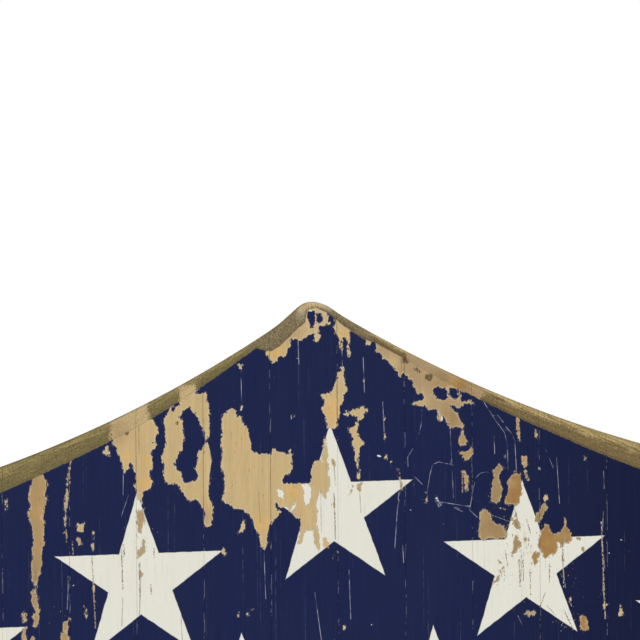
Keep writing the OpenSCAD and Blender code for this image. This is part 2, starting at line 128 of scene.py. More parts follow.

# Lost paint, as read off: the colour of the bare pine, and outlines across (X) and up (Z) the face
LOST_PAINT = {
    AMBER: [
        [(-242, 123), (-245, 117), (-247, 110), (-248.5, 105), (-249, 101), (-248, 94), (-249.5, 86),
         (-248, 78), (-246.7, 71), (-247, 68), (-246, 60), (-247.5, 57), (-247, 50), (-248, 45), (-249, 38),
         (-248.5, 30), (-246.5, 27), (-248, 22), (-250, 20), (-250, 12), (-248.5, 8), (-247, 4),
         (-248.5, 1), (-250, -1), (-249, -5), (-249, -9), (-246.5, -9.5), (-245.5, -6), (-244, -3),
         (-244.5, 2), (-244, 5), (-245, 11), (-244.5, 14), (-246, 21), (-245, 26), (-244, 30), (-244, 34),
         (-241.5, 36), (-240, 45), (-240, 52), (-239, 58), (-238, 62), (-238.5, 68), (-236.7, 70.5),
         (-238, 75.5), (-236, 78), (-238, 83), (-236, 88), (-237, 92), (-234.4, 94.4), (-234, 99),
         (-235, 104), (-233.3, 110), (-234.4, 115.5), (-236.7, 120), (-238, 126)],
        [(-224, -7), (-222, -6), (-220, -6), (-220, -12), (-222, -14), (-221, -16), (-219.5, -19),
         (-219.5, -21.5), (-221, -32), (-226, -32), (-226, -20.5), (-226, -17), (-223, -13), (-224, -10)],
        [(-269, 100), (-268, 100), (-268, 91), (-269, 90)], [(-219.5, 69), (-218, 66), (-220, 70)],
        [(-208, 65), (-206, 62), (-205.5, 59.5), (-208.5, 60), (-209.5, 64)],
        [(-206, 6), (-203.5, 6), (-203, 3), (-204.5, -4), (-205, 0), (-204, 4)],
        [(-258, 0), (-257.5, 4), (-256.5, 5.5), (-255, 3), (-254.5, -1), (-255, -4.5), (-258, -5)],
        [(-259, -11), (-256, -10), (-255, -9), (-256, -12), (-256, -20), (-257, -32), (-259, -31),
         (-259, -20)], [(-252, -20), (-250, -17), (-248.5, -20), (-250, -31), (-252, -30)],
        [(171.5, 120), (175, 120), (175, 114), (173, 111), (171.5, 113)],
        [(173.5, 107), (175, 107), (176, 100), (174.5, 99)],
        [(168.5, 157), (170, 150), (169.8, 144), (169.8, 133), (168.6, 133), (167.6, 146), (167.4, 156)],
        [(121, 145), (122.5, 143), (123, 139), (124, 135), (123, 131), (118.5, 131), (117, 135), (119, 138),
         (120, 141)],
        [(118.5, 126), (121, 126), (124, 126.5), (127, 127), (129, 130), (129.5, 128), (129, 124),
         (126, 120), (123.5, 117.5), (122.5, 117), (121.5, 120), (120, 123)],
        [(120, 110), (122, 110), (124, 106), (125, 100), (124, 98), (123.5, 92), (122.5, 92), (122, 98),
         (120.5, 100), (121, 105)], [(30, 103), (35, 103), (33, 98), (32, 94), (30.5, 98)],
        [(25, 102), (27, 100), (24, 94), (22.5, 92), (25, 97)],
        [(10, 124), (12.5, 121), (11, 117), (10, 119)], [(9, 87), (11, 84), (10.5, 78)],
        [(66.5, 103), (67, 98), (68, 95), (69, 100)],
    ],
    SAND: [
        [(-213, 129), (-215.4, 118), (-217, 110), (-218, 98), (-218.8, 88), (-219, 74.5), (-218.2, 88),
         (-216, 98), (-215.2, 110), (-214.3, 118), (-212.4, 130)],
        [(50, 222), (51, 218), (52, 216.5), (50.5, 214), (51, 213), (54, 212), (56, 210.5), (56, 208),
         (60, 206), (63, 202), (65, 199), (68, 196), (69, 192), (72, 191.5), (72, 195.5), (74, 194.5),
         (77, 190.5), (79, 189), (81, 186), (82, 181), (84, 178), (86, 176.5), (88, 177.5), (89, 175),
         (90, 173), (89, 171), (86, 170.5), (84, 169.5), (79, 169), (78.5, 168), (82, 167.5), (85, 167),
         (88, 166.5), (91, 166), (93, 163), (97, 163), (101, 163), (101.5, 157), (101.8, 153), (103.5, 153),
         (104, 158), (105, 157), (107, 154), (109, 151), (111, 147), (111.5, 144), (113, 146), (117, 147.5),
         (121, 146.5), (121.5, 149), (119, 154), (117, 158), (114, 162), (112, 164.5), (113, 166),
         (116, 165), (119.5, 163.5), (121, 165), (124, 167), (128, 167), (130, 166), (132.5, 166),
         (131, 168), (128, 169), (122, 169), (121, 172), (120.5, 178), (123, 177), (134, 177), (118, 193),
         (80, 214)],
        [(-158, 86), (-152, 87), (-151.5, 74), (-152, 74), (-154, 70), (-156, 65), (-157, 70), (-158, 75)],
        [(-158.5, 52), (-157, 52), (-156, 53), (-154, 57), (-153.5, 62), (-152, 60), (-152, 52), (-154, 49),
         (-156, 47), (-157, 46), (-158.5, 46)], [(-157, 36), (-155, 33), (-156, 30), (-157.5, 32)],
    ],
    STRAW: [
        [(-178, 160), (-176, 151), (-175.5, 147), (-177, 144), (-174, 140), (-172, 135), (-169.5, 131),
         (-168.5, 127), (-168.5, 121), (-167, 119), (-165, 121), (-162, 123), (-163, 125.5), (-161, 126.5),
         (-160, 125), (-159, 120), (-157, 116), (-157, 110), (-159, 109), (-159.5, 106.5), (-157.5, 104),
         (-157, 97), (-154, 92), (-153, 98), (-151.5, 102.5), (-148, 103.5), (-145, 106), (-142.5, 109.5),
         (-145, 112), (-146, 118), (-145, 121), (-142, 122), (-143.5, 127), (-144.5, 134), (-142, 137.5),
         (-138.5, 141.5), (-143, 143), (-139.5, 146), (-138, 151), (-138, 155), (-140, 159), (-142, 162),
         (-141, 168), (-158, 174)],
        [(-128.5, 168), (-133, 160), (-131, 158.5), (-131.5, 152), (-130.5, 148), (-131, 142), (-133, 135),
         (-135, 129), (-133.5, 123), (-134.5, 115), (-133, 110), (-130, 107.5), (-124, 108.5),
         (-120.5, 105), (-119.5, 101), (-116, 97), (-112, 91), (-110, 93.5), (-107, 94.5), (-103, 88.5),
         (-101, 86), (-100, 80), (-101, 74), (-99.5, 70.5), (-95, 70.5), (-94, 74), (-93.5, 78), (-93, 88),
         (-94.5, 92), (-97.5, 98), (-96, 104), (-94, 118), (-93, 126), (-93, 133), (-94.5, 138),
         (-96, 141.5), (-95, 146), (-94, 150), (-93.5, 160), (-93.5, 170), (-94, 175), (-95.5, 185),
         (-97, 193), (-106, 192), (-116.5, 191), (-122, 181)],
        [(-81.5, 166), (-83, 160), (-82.5, 150), (-84, 140), (-83, 130), (-84.5, 122), (-83, 112),
         (-82, 104), (-83.5, 98), (-84, 93), (-83.5, 90.5), (-79, 88), (-75, 85), (-67, 84), (-64, 81),
         (-59.5, 75), (-58, 68), (-55, 62), (-53.5, 57.5), (-52.5, 60), (-53, 54), (-52.5, 51), (-50.5, 49),
         (-49, 52), (-48, 58), (-47, 64), (-45.5, 69), (-42.5, 72.5), (-38.5, 77), (-36, 80), (-39.5, 84),
         (-41, 88), (-40, 89), (-36.5, 84.5), (-33.5, 85), (-30, 83), (-25, 77.5), (-22, 75), (-19, 74),
         (-18.5, 70), (-20, 60), (-21.5, 52), (-19, 53), (-17.5, 56), (-16.5, 62), (-14.5, 65), (-9, 64),
         (-9, 60), (-7, 52), (-4.5, 45), (-3.5, 50), (-4, 60), (-5, 68), (-5, 85), (-3, 95), (-2, 98),
         (0, 95), (1, 92), (2.5, 90), (4, 94), (6.5, 99), (7, 103), (6.5, 110), (6.5, 120), (5.5, 130),
         (5, 140), (4, 142), (2.5, 136), (1.5, 130), (1, 125), (2, 121), (0, 120.5), (-1, 124), (-3.5, 123),
         (-6, 121), (-7.5, 116), (-8.5, 111), (-9, 104), (-33, 104), (-33.5, 108), (-32, 111), (-28, 112.5),
         (-25, 115), (-24.5, 118), (-25.5, 126), (-24, 129), (-25.5, 133), (-27, 129), (-29.5, 129.5),
         (-38, 132.5), (-40, 134.5), (-41, 129), (-54, 130.5), (-58.5, 134), (-59, 141), (-60.5, 146),
         (-60, 150), (-65, 158), (-66, 162), (-70.5, 162), (-70, 167), (-72, 169), (-75, 169), (-77, 167),
         (-79, 164)],
        [(-46, 227), (-43.5, 222), (-43, 216), (-42, 212), (-40, 211), (-38, 206), (-35, 208), (-32, 213.5),
         (-26.5, 212), (-25.5, 216), (-23, 219), (-22, 226), (-19, 227.5), (-16, 226), (-12, 226),
         (-7, 230), (-1, 230.5), (-3, 226), (-1, 224), (2, 226), (3, 229), (0, 230.5), (2, 233), (1.5, 236),
         (3, 238), (6, 237), (9, 238), (12, 239.5), (11.5, 242), (10.5, 247), (12, 248.5), (15, 247),
         (16, 244), (15.5, 240), (15.5, 236), (16, 231), (18.5, 228), (19.5, 225), (20.5, 220), (21.3, 214),
         (22, 218), (22, 226.5), (26.5, 226.5), (26.5, 219), (26.6, 210), (28, 207), (28.6, 212),
         (28.4, 218), (28, 224), (29, 233), (24, 243), (12, 255), (0, 262), (-14, 260), (-32, 245)],
        [(20, 201), (22, 201), (22.5, 195), (22, 190), (23, 186), (24.5, 183), (24, 180), (21, 179),
         (20.5, 172), (19, 170), (17.5, 166), (17.5, 160), (16.5, 157.5), (14.5, 158), (15, 154),
         (14.5, 150), (11, 150), (7, 150), (6.5, 155), (5.5, 160), (3, 164), (3.5, 168), (5.5, 173),
         (3.5, 176), (2, 178.5), (6, 179.5), (11, 180), (14, 186), (16.5, 190), (17, 193), (16, 196),
         (18, 198), (20, 197.5)],
        [(22, 162), (23, 163.5), (26, 162), (28, 165), (31, 165.5), (34, 165), (36, 167), (38, 167.5),
         (39, 165), (41, 164), (40, 162), (38, 161), (38, 158), (36, 156.5), (34, 157), (33, 154),
         (32.5, 150), (31.5, 146), (33, 142), (36, 138.5), (37, 136), (34, 134), (33, 131), (32.5, 125),
         (32, 120), (32.6, 111), (31.8, 104), (31, 110), (31.4, 120), (30.5, 122), (29.5, 130), (28, 134),
         (28, 140), (26.5, 145), (24, 148.5), (27, 150), (30, 150.5), (32, 154), (34, 157.5), (32, 159),
         (27, 160.5), (24, 160.5)], [(188, 85), (190, 87), (192, 85), (191.5, 82), (189, 82)],
        [(-209, 76), (-206, 76), (-202, 78), (-204, 73), (-204, 70), (-208.5, 70)],
        [(-72, 63.5), (-70, 64), (-67, 66.5), (-66, 71), (-66.5, 75), (-68, 74.5), (-69, 70)],
        [(-86.5, 49.5), (-85, 52), (-83.8, 49), (-84.3, 45)],
        [(249, -18), (252, -18), (251.5, -14), (250, -10)], [(207, -2), (209, -1), (208, -8)],
        [(41.5, 226), (42, 220), (45.2, 220), (46, 222), (46, 226)],
        [(-185, 136), (-180.5, 141), (-179, 133.5)], [(-68, 208), (-65, 202), (-63.5, 207)],
    ],
    UMBER: [
        [(146, 109), (149, 112), (151, 114), (153, 114), (155, 111), (154, 108), (151, 106), (150.5, 102),
         (152, 97), (153, 93), (152, 87), (150, 82), (146, 81), (143, 84), (144.5, 90), (145, 98),
         (147, 104)],
        [(134, 74), (136, 76), (138, 77), (141, 73), (143, 69), (146, 63), (150, 62.5), (153, 61),
         (156, 57), (156, 53), (155, 51.5), (138, 51.5), (137, 47.5), (135.5, 49), (133, 53), (131.5, 57),
         (133, 65), (133.5, 70)],
        [(180, 64), (181, 68), (183, 72), (185, 76), (187, 79), (189.5, 79), (191, 75.5), (188, 72),
         (186, 68), (184.5, 63.5)],
        [(160, 68), (163, 67), (165, 70), (166, 64), (168, 59), (165.5, 57), (163, 61), (161, 66)],
        [(163, 75), (165, 73), (164.6, 68), (163, 68)],
        [(162, 48), (163, 52), (165, 53), (166, 50), (165, 49), (168, 47), (169.5, 47), (168, 44),
         (165, 42), (165, 40), (161, 37.5), (158.5, 36), (160, 40), (160.5, 44)],
        [(170.5, 52), (172, 52), (173, 50), (171, 47.5), (170, 49)],
        [(146, 33), (148, 32.5), (150, 30), (148, 29.5)], [(147, 25), (149, 24), (150, 18), (148, 21)],
        [(151, 28), (153, 27), (152, 22), (150.5, 24)],
        [(143, 14), (145, 18), (148, 19.5), (147, 15), (144, 12.5)],
        [(167, -14), (169, -13), (170.5, -11), (172, -11.5), (174, -12), (177, -11), (178, -13.5),
         (176, -15), (173, -15), (172, -17), (170.5, -14.5)], [(220, 49), (214, 50), (216, 47)],
        [(219, 40), (221, 41), (222, 38), (220, 37.5)], [(201.5, 35), (203.5, 35), (203.5, 30), (202, 30)],
    ],
    RUST: [
        [(158, 100), (160, 99.5), (161.5, 103), (164, 104), (165, 107), (168, 105), (169.5, 106),
         (169, 102), (170, 98), (170, 93), (169.5, 88), (168, 84), (167, 80), (164, 79), (158, 80),
         (155, 81), (156.5, 85), (157, 90), (158.5, 95)],
        [(184, 52), (185.5, 57), (188, 60), (189.5, 62), (191, 60), (193, 56), (195, 53.5), (198, 53.5),
         (201, 55), (204, 58), (205.4, 60), (205.7, 66), (206.5, 66), (206.6, 59), (208, 57), (210, 53),
         (210.5, 50), (211.5, 47), (210, 45), (204, 46), (204, 43), (201, 41.5), (200, 45), (198.5, 45),
         (198, 40), (196, 38), (196, 34), (194, 36), (191, 34), (189, 32.5), (186, 34), (185.5, 37),
         (184.5, 39), (183, 42), (181, 42), (181, 45), (183, 48)],
        [(178, 39), (180.5, 37.5), (183.5, 38), (182, 35), (181, 32), (182, 31), (179, 28), (177, 28),
         (177, 32), (176.5, 35)],
        [(215, -18), (217, -17), (219, -17.5), (221, -19), (221, -23), (222, -26), (221, -29), (218, -31),
         (216, -30), (215.5, -25), (215.5, -21)],
    ],
    HONEY: [
        [(0, 58), (5, 53), (4.5, 50), (1, 48), (-1, 50), (-0.5, 54)],
    ],
}

# Islands of paint left standing inside the outlines above
KEPT_PAINT = [
    [(-110, 173), (-116, 169.5), (-118.8, 164.3), (-116.6, 160), (-116.6, 152), (-115.5, 146), (-117, 139),
        (-121.5, 130.5), (-124.5, 126), (-123, 120.5), (-120.5, 118.5), (-118.5, 113), (-115.5, 107.5),
        (-106, 109), (-104.5, 115), (-107.5, 120), (-105, 123), (-104, 128), (-104.5, 133), (-103, 136),
        (-101, 135.5), (-98.5, 137.5), (-97, 142), (-97, 150), (-98.6, 151), (-101.8, 160.5),
        (-104.6, 166.3)],
    [(-127.5, 170.5), (-118.5, 180), (-116.3, 177.5), (-124, 168.3)],
    [(-107, 183.2), (-95, 192), (-93, 192), (-94, 186), (-99, 183)],
    [(-40, 100), (-33.5, 99.5), (-32.5, 96), (-33, 91), (-38, 95.5)], [(-34, 86), (-27, 81), (-30, 84.5)],
    [(-23, 89), (-21.5, 84), (-26, 82)], [(-16.5, 104), (-10, 104), (-9.5, 92), (-12, 86), (-15, 84)],
    [(-7, 251), (-6.5, 245), (-5, 236), (-2.5, 235), (0, 243), (0, 250), (-3, 252)],
    [(0.8, 248), (5.8, 248.3), (6.3, 241.5), (3, 239), (0.8, 241)],
    [(10.3, 248.6), (15, 248.6), (17, 244), (15.8, 238), (9.8, 239.5)],
    [(98, 178), (99, 181), (103, 182), (107, 181), (109, 180), (110, 178), (110, 172), (107, 170.5),
        (103, 171), (99, 173), (97.5, 175.5)],
    [(110.5, 180.5), (113, 181.5), (117, 180), (119.5, 178.5), (119.5, 173), (118, 171), (114, 171),
        (112, 173), (110.5, 176)],
]

# Thin pale scratches and rubbed lines in the paint, as strokes of a few points each
SCRATCHES = [
    [(87.5, 162), (86.5, 150), (84.5, 143), (81.5, 137.5)], [(78, 129), (74, 123), (74, 116)],
    [(88.5, 86), (90, 96), (92.5, 108), (95, 116), (100, 118), (112, 115)],
    [(85, 86.5), (100, 84), (125, 79)], [(113, 78), (118, 75.5)],
    [(146, 106.5), (140, 108), (135, 107), (131, 103), (128, 91), (125, 76), (131, 70)],
    [(140, 168), (150, 151), (157, 141), (159, 131), (159, 104)], [(151, 157), (156, 150)],
    [(159, 145), (163, 140), (165.5, 134), (166, 108)], [(192, 124), (197, 110)],
    [(200.5, 118), (201.5, 80)], [(80, 105.5), (85, 100)], [(145, 70.5), (159, 65)],
    [(54.5, 170), (54.8, 146)], [(111, 143), (111.6, 88)],
    [(238.5, 70), (236.5, 46), (238, 22), (235.5, 14), (237, -18)], [(202.5, 22), (204, 8)],
    [(-218.3, 32), (-218.5, 22), (-220, 5)], [(-51, 46), (-51, 8)], [(-15.5, 225), (-15.5, 206)],
    [(-65, 201), (-65.3, 176)], [(21.6, 217), (21.4, 202)], [(148, 138), (148, 124)],
    [(240, 104), (240, 91)], [(163, -16), (166, -23)], [(20.6, 28), (20.6, -12)],
    [(-168, 119), (-169, 100)], [(-164.5, 99), (-171, 82)], [(39.3, 208), (39.3, 180)],
    [(-9, 10), (-5, -30)], [(66.6, 95), (63.5, 76)], [(95, 90.5), (97.6, 85.5)],
    [(97.4, 90), (100.4, 81.5)], [(95, 86.5), (98.4, 80.5)], [(65, 92), (60.3, 47)], [(67, 47), (67.3, 34)],
]

# Small bright flecks where the paint has chipped right through, as short fat strokes
FLECKS = [
    [(55, 157), (55, 155)], [(55.2, 143), (55.2, 138)], [(55.6, 125), (55.6, 121)],
    [(59.5, 119), (59.3, 116)], [(65.6, 113), (66.8, 104)], [(88.2, 92), (88.2, 85)],
    [(39.3, 191), (39.5, 189)], [(183.5, 142), (183.7, 133)], [(224.6, 119), (224.6, 116)],
    [(186, 109), (186, 108.6)], [(236, -8), (239, -8.5)], [(235.5, -12), (236.5, -9)],
    [(7.3, 40), (8.6, 42)], [(12, 45), (12, 44.6)], [(14.5, -21), (15, -18)], [(-67, -5.5), (-66, -6.5)],
    [(-74, -3), (-74, -7)], [(-62, -1.5), (-64, -2)], [(-197, 25), (-197, 19)], [(-197, 13), (-196.8, 9)],
    [(-195.7, 70), (-196.2, 54)], [(-218, -3.5), (-216.5, -4.5)], [(-219.5, 70), (-218, 66)],
    [(-66, 172), (-66, 168)], [(-22, 164), (-21.6, 161)], [(133, 85), (133, 84)], [(150, 77), (155, 75.6)],
    [(157, 122), (157, 120)],
]

# Lines of dots where the paint has popped off the hard grain
DOTTED = [
    [(-197.3, 48), (-196.5, -12)], [(-213.5, 61), (-213.3, 50)], [(-170.3, 57), (-169.5, 49)],
    [(-148.2, 22), (-148, 15)], [(-144.5, 53), (-144.4, 46)], [(165.5, 32), (165.5, 10)],
    [(168.6, 31), (168.4, 15)], [(174.4, 23), (174.2, 3)], [(191, 27), (190.6, 13)],
    [(203, 46), (202.6, 8)], [(186.3, 3), (182, -8)], [(202, -12), (209, -28)], [(154, 40), (155.5, 28)],
    [(173, 66), (176, 55)], [(-172, 52), (-172, 20)], [(-157.5, 40), (-157.8, 10)],
    [(10.5, 92), (10.2, 60)], [(-218.5, 72), (-218.5, 62)], [(120, 108), (119.4, 92)],
    [(236.5, 62), (236.8, -20)],
]

# Dark cracks along the grain
CRACKS = [
    [(-153.5, 165), (-153.8, 135)], [(-53.5, 97), (-53.3, 73)], [(15.8, 185), (15.2, 150)],
    [(-172, 47), (-172.3, 26)], [(-172.4, 12), (-174, -11)], [(-156.8, 41), (-157.5, 12)],
    [(-158, 8), (-159, -3)], [(10.3, 94), (10, 56)], [(-1, 97), (-1.5, 62)], [(203, 45), (202.5, 27)],
    [(32.2, 93), (32.6, 78)], [(11.2, 115), (11.8, 102)], [(188, -8), (194, -15)],
    [(71.6, 207), (71.6, 196)], [(-123.6, -4), (-123.2, -26)],
]

# Knots in the pine: middle and radius
KNOTS = [
    ((94.5, 190.5), 1.9), ((75.5, 205.5), 2.2), ((-120.5, 159), 0.7), ((-163.5, 152.5), 0.8),
    ((84.5, 197.3), 0.6), ((86.5, 195.6), 0.5),
]

# White undercoat that still clings to the wood; the outline at the peak's tip is a painted highlight on the
# paint's top edge
PRIMER_AND_HIGHLIGHT = [
    [(100.4, 162), (102.4, 162.8), (103, 158.4), (105.2, 156), (104.8, 152.6), (102.4, 153), (101.6, 157)],
    [(-8, 251.2), (-4.4, 253), (-1.6, 250.6), (-4.4, 250)],
    [(0, 240.2), (2.4, 241), (2.4, 236), (0.8, 236)], [(96.4, 87.8), (97.6, 88.2), (99.2, 84), (98, 83.4)],
    [(48, 125.6), (51.6, 125), (51.4, 124), (48, 124.6)],
    [(-23.8, 163.4), (-22.6, 163.6), (-22.8, 158.6), (-24, 159)],
    [(-66.6, 171.6), (-65, 171.8), (-65.2, 167.4), (-66.4, 168)],
    [(20.4, 162.6), (24.6, 162), (24.4, 160.4), (21, 160.8)],
    [(-133, 159.2), (-129.4, 162.4), (-129.4, 158.8)],
]
PRIMER_SPECKS = [
    ((252.8, 45.9), 0.7), ((242.2, 35.3), 0.6), ((221.4, 25.9), 0.5), ((222, -9.8), 0.5),
    ((59.1, 117.7), 0.6), ((75.1, 78.2), 0.6), ((185.3, 109.5), 0.8), ((-16.4, 210.5), 0.6),
    ((-214, 24), 0.5), ((-196, -22), 0.5), ((-60, -30), 0.6), ((38, -18), 0.5), ((118, -42), 0.6),
]

# Upright width of the bevel along the flanks, uneven as the hand left it: place across, width
BEVEL_WIDTHS = [
    (-628, 32), (-270, 21.5), (-220, 18.5), (-180, 17), (-140, 15), (-94, 11), (-67, 8.5), (-51, 7),
    (-44, 14), (-38, 18), (-30, 19), (-20, 18), (-11, 17.5), (-8.5, 16), (-7, 6.5), (0, 5), (8, 6), (17, 7),
    (29, 8.5), (40, 9.5), (50, 7), (72, 7), (100, 9), (121, 10.5), (150, 12.5), (200, 15.5), (270, 22),
    (628, 32),
]

# How far the worn, rounded peak stands over the two flanks' arcs: place across, height
PEAK_WEAR = [
    (-36, 0), (-30, 0.6), (-20, 2.7), (-14, 3.8), (-9, 3.2), (-5, 1.4), (0, -2.2), (4, -0.6), (10, 1.0),
    (16, 0.7), (22, 0),
]

# The lengths below are in millimetres too.

# Depth given to a point that lies inside no outline at all
FAR = 20.0
# Half the width of a fleck
FLECK_HALF = 0.3
# How far off a stroke its distance is still kept
STROKE_REACH = 3.0
# Rise from one batten to the next
BATTEN_STEP = 420.0
# Radius of the soft corner at a strip's cut ends, and the distances from an end where the mesh follows it
END_ROUND = 1.6
END_STEPS = np.array([0.0, 0.12, 0.45, 0.95, 1.6])
# Distances from a joint where the mesh follows the strip's softened corner, and how far it drops there
CORNER_STEPS = np.array([0.0, 0.15, 0.4, 0.9])
CORNER_DROP = np.array([0.3, 0.14, 0.04, 0.0])
# Depth of the tongue and groove under the bevel's cut
HIDDEN_UNDER_BEVEL = 2.0
# Chains of worn spots on the whole panel, and the part of it whose chips are listed above instead
WORN_CHAINS = 210
LISTED_X, LISTED_Z = 285, -75
# Rows of mesh: wide apart below this line, and twice as fine as elsewhere this near the centre line
QUIET_Z = -60.0
QUIET_PITCH = 7
DETAILED_X = 300
# The upper row of stars: drop, draw-in, tilt and bow for each step from its middle star
UPPER_DROP, UPPER_DRAW_IN, UPPER_TILT, UPPER_BOW = 53.2, 2.35, 0.85, 1.25
# The lower row: its drop and draw-in for each step, and its distance under the upper row
LOWER_DROP, LOWER_DRAW_IN, ROW_GAP = 54.5, 0.65, 147.0
# How much larger the star left of the middle came out
LARGE_STAR = 2.9

# Lamps: place and size in metres, and power in keys
LAMPS = [
    ("front_left", (-3.2, -4.6, 3.2), 2.2, 4.0),
    ("front_right", (3.6, -4.6, 1.2), 2.6, 2.2),
    ("back_left", (-3.4, 4.2, 2.6), 2.4, 3.0),
    ("back_right", (3.4, 4.2, 1.2), 2.4, 2.0),
]


def length(name, description, default, **more):
    """A size in metres for the sidebar."""
    return FloatProperty(
        name=name, description=description, default=default, subtype="DISTANCE", unit="LENGTH", **more
    )


def angle(name, description, degrees):
    """An angle for the sidebar."""
    return FloatProperty(name=name, description=description, default=math.radians(degrees), subtype="ANGLE")


def colour(name, description, *shade):
    """A colour for the sidebar, written as on a paint chart."""
    return FloatVectorProperty(
        name=name, description=description, default=shade_of(*shade), subtype="COLOR", size=3, min=0, max=1
    )


class ShieldSizes(bpy.types.PropertyGroup):
    """Sizes of the strips that the frame's boxes don't say"""

    lean: angle("Lean", "How far the strips lean from upright", 1.7)
    joint_shift: length("Joint shift", "Where the middle joint crosses mid-height", -0.003, precision=4)
    joint_gap: length("Joint gap", "Opening left at a joint in the painted face", 0.0001, min=0, precision=5)
    flank_low: length("Flank low point", "Lowest level of the two hollow flanks", 0.075)
    peak_rise: length("Peak rise", "Rise of the sharp peak over the flanks' low point", 0.185, min=0.05)
    shoulder_in: length("Shoulder inset", "Flanks' low point, measured in from the side", 0.025)
    side_height: length("Side height", "Straight side under the flanks' low point", 0.435)
    bevel_angle: angle("Bevel angle", "Between the bevel and the painted face", 25)
    bevel_side: length("Side bevel", "Width of the bevel down the sides and round the foot", 0.020, min=0.002)
    tongue_length: length("Tongue length", "Reach of a tongue past its strip's face", 0.006)
    tongue_width: length("Tongue thickness", "Thickness of a tongue", 0.006)
    tongue_air: length("Tongue air", "Air round a tongue in its groove", 0.0002, precision=5)
    column_pitch: length(
        "Column pitch", "Distance between mesh columns on a strip's face", 0.0013, min=0.0005, precision=4
    )
    row_pitch: length(
        "Row pitch", "Distance between mesh rows where paint is broken up", 0.0017, min=0.0005, precision=4
    )
    cup: length("Cup", "How far a strip's edges stand back from its middle", 0.00025, min=0, precision=5)
    paint_depth: length(
        "Paint depth", "How far bare wood lies under the old paint's face", 0.0002, min=0, precision=5
    )
    seed: IntProperty(name="Seed", description="Seed for the strips' small differences", default=7)


class ShieldColours(bpy.types.PropertyGroup):
    """Colours of the paint, the wood and the steel"""

    navy: colour("Navy", "Field behind the stars", 22, 31, 73)
    cream: colour("Cream", "Stars and pale stripes", 234, 233, 221)
    red: colour("Red", "Dark stripes", 146, 36, 36)
    olive: colour("Olive band", "Weathered bevel, inner half", 118, 106, 70)
    straw_band: colour("Pale band", "Weathered bevel, worn outer half", 146, 131, 86)
    old_pine: colour("Old pine", "Bare backs and edges of the strips", 150, 122, 86)
    batten_pine: colour("Batten pine", "The three cross battens", 186, 152, 106)
    screw_steel: colour("Screw steel", "Dull old screws", 112, 104, 96)
    hanger_zinc: colour("Hanger zinc", "Zinc-plated straps and rings", 172, 172, 168)


class ShieldPattern(bpy.types.PropertyGroup):
    """Sizes of the painted pattern"""

    star_pitch: length("Star pitch", "Distance between two stars of a row", 0.16385, precision=4)
    star_radius: length("Star radius", "From a star's middle to its tips", 0.0719, precision=4)
    star_x: length("Middle star across", "Middle star's place from the centre line", 0.0089, precision=4)
    star_z: length("Middle star height", "Height of the middle star", 0.0815, precision=4)
    field_low: length("Field's lower edge", "Height where the stripes begin", -0.315)
    stripes: IntProperty(name="Stripes", description="Number of stripes", default=13, min=3)


class ShieldStage(bpy.types.PropertyGroup):
    """Floor, lights and camera"""

    floor_drop: length("Floor drop", "Floor under the panel's foot", 0.12)
    camera_distance: length("Camera distance", "From the camera to the painted face", 3.0)
    view_width: length("View width", "Width of the view at the painted face", 0.544)
    view_x: length("View across", "Middle of the view from the centre line", 0.0038, precision=4)
    view_z: length("View height", "Height of the middle of the view", 0.2422, precision=4)
    roll: angle("Roll", "How far the camera leans to its right", 2.1068)
    sky: FloatProperty(name="Sky", description="Strength of the even light", default=0.55, min=0)
    key: FloatProperty(name="Key", description="Power of one key of lamplight in watts", default=40, min=0)


# ---------------------------------------------------------------- shape


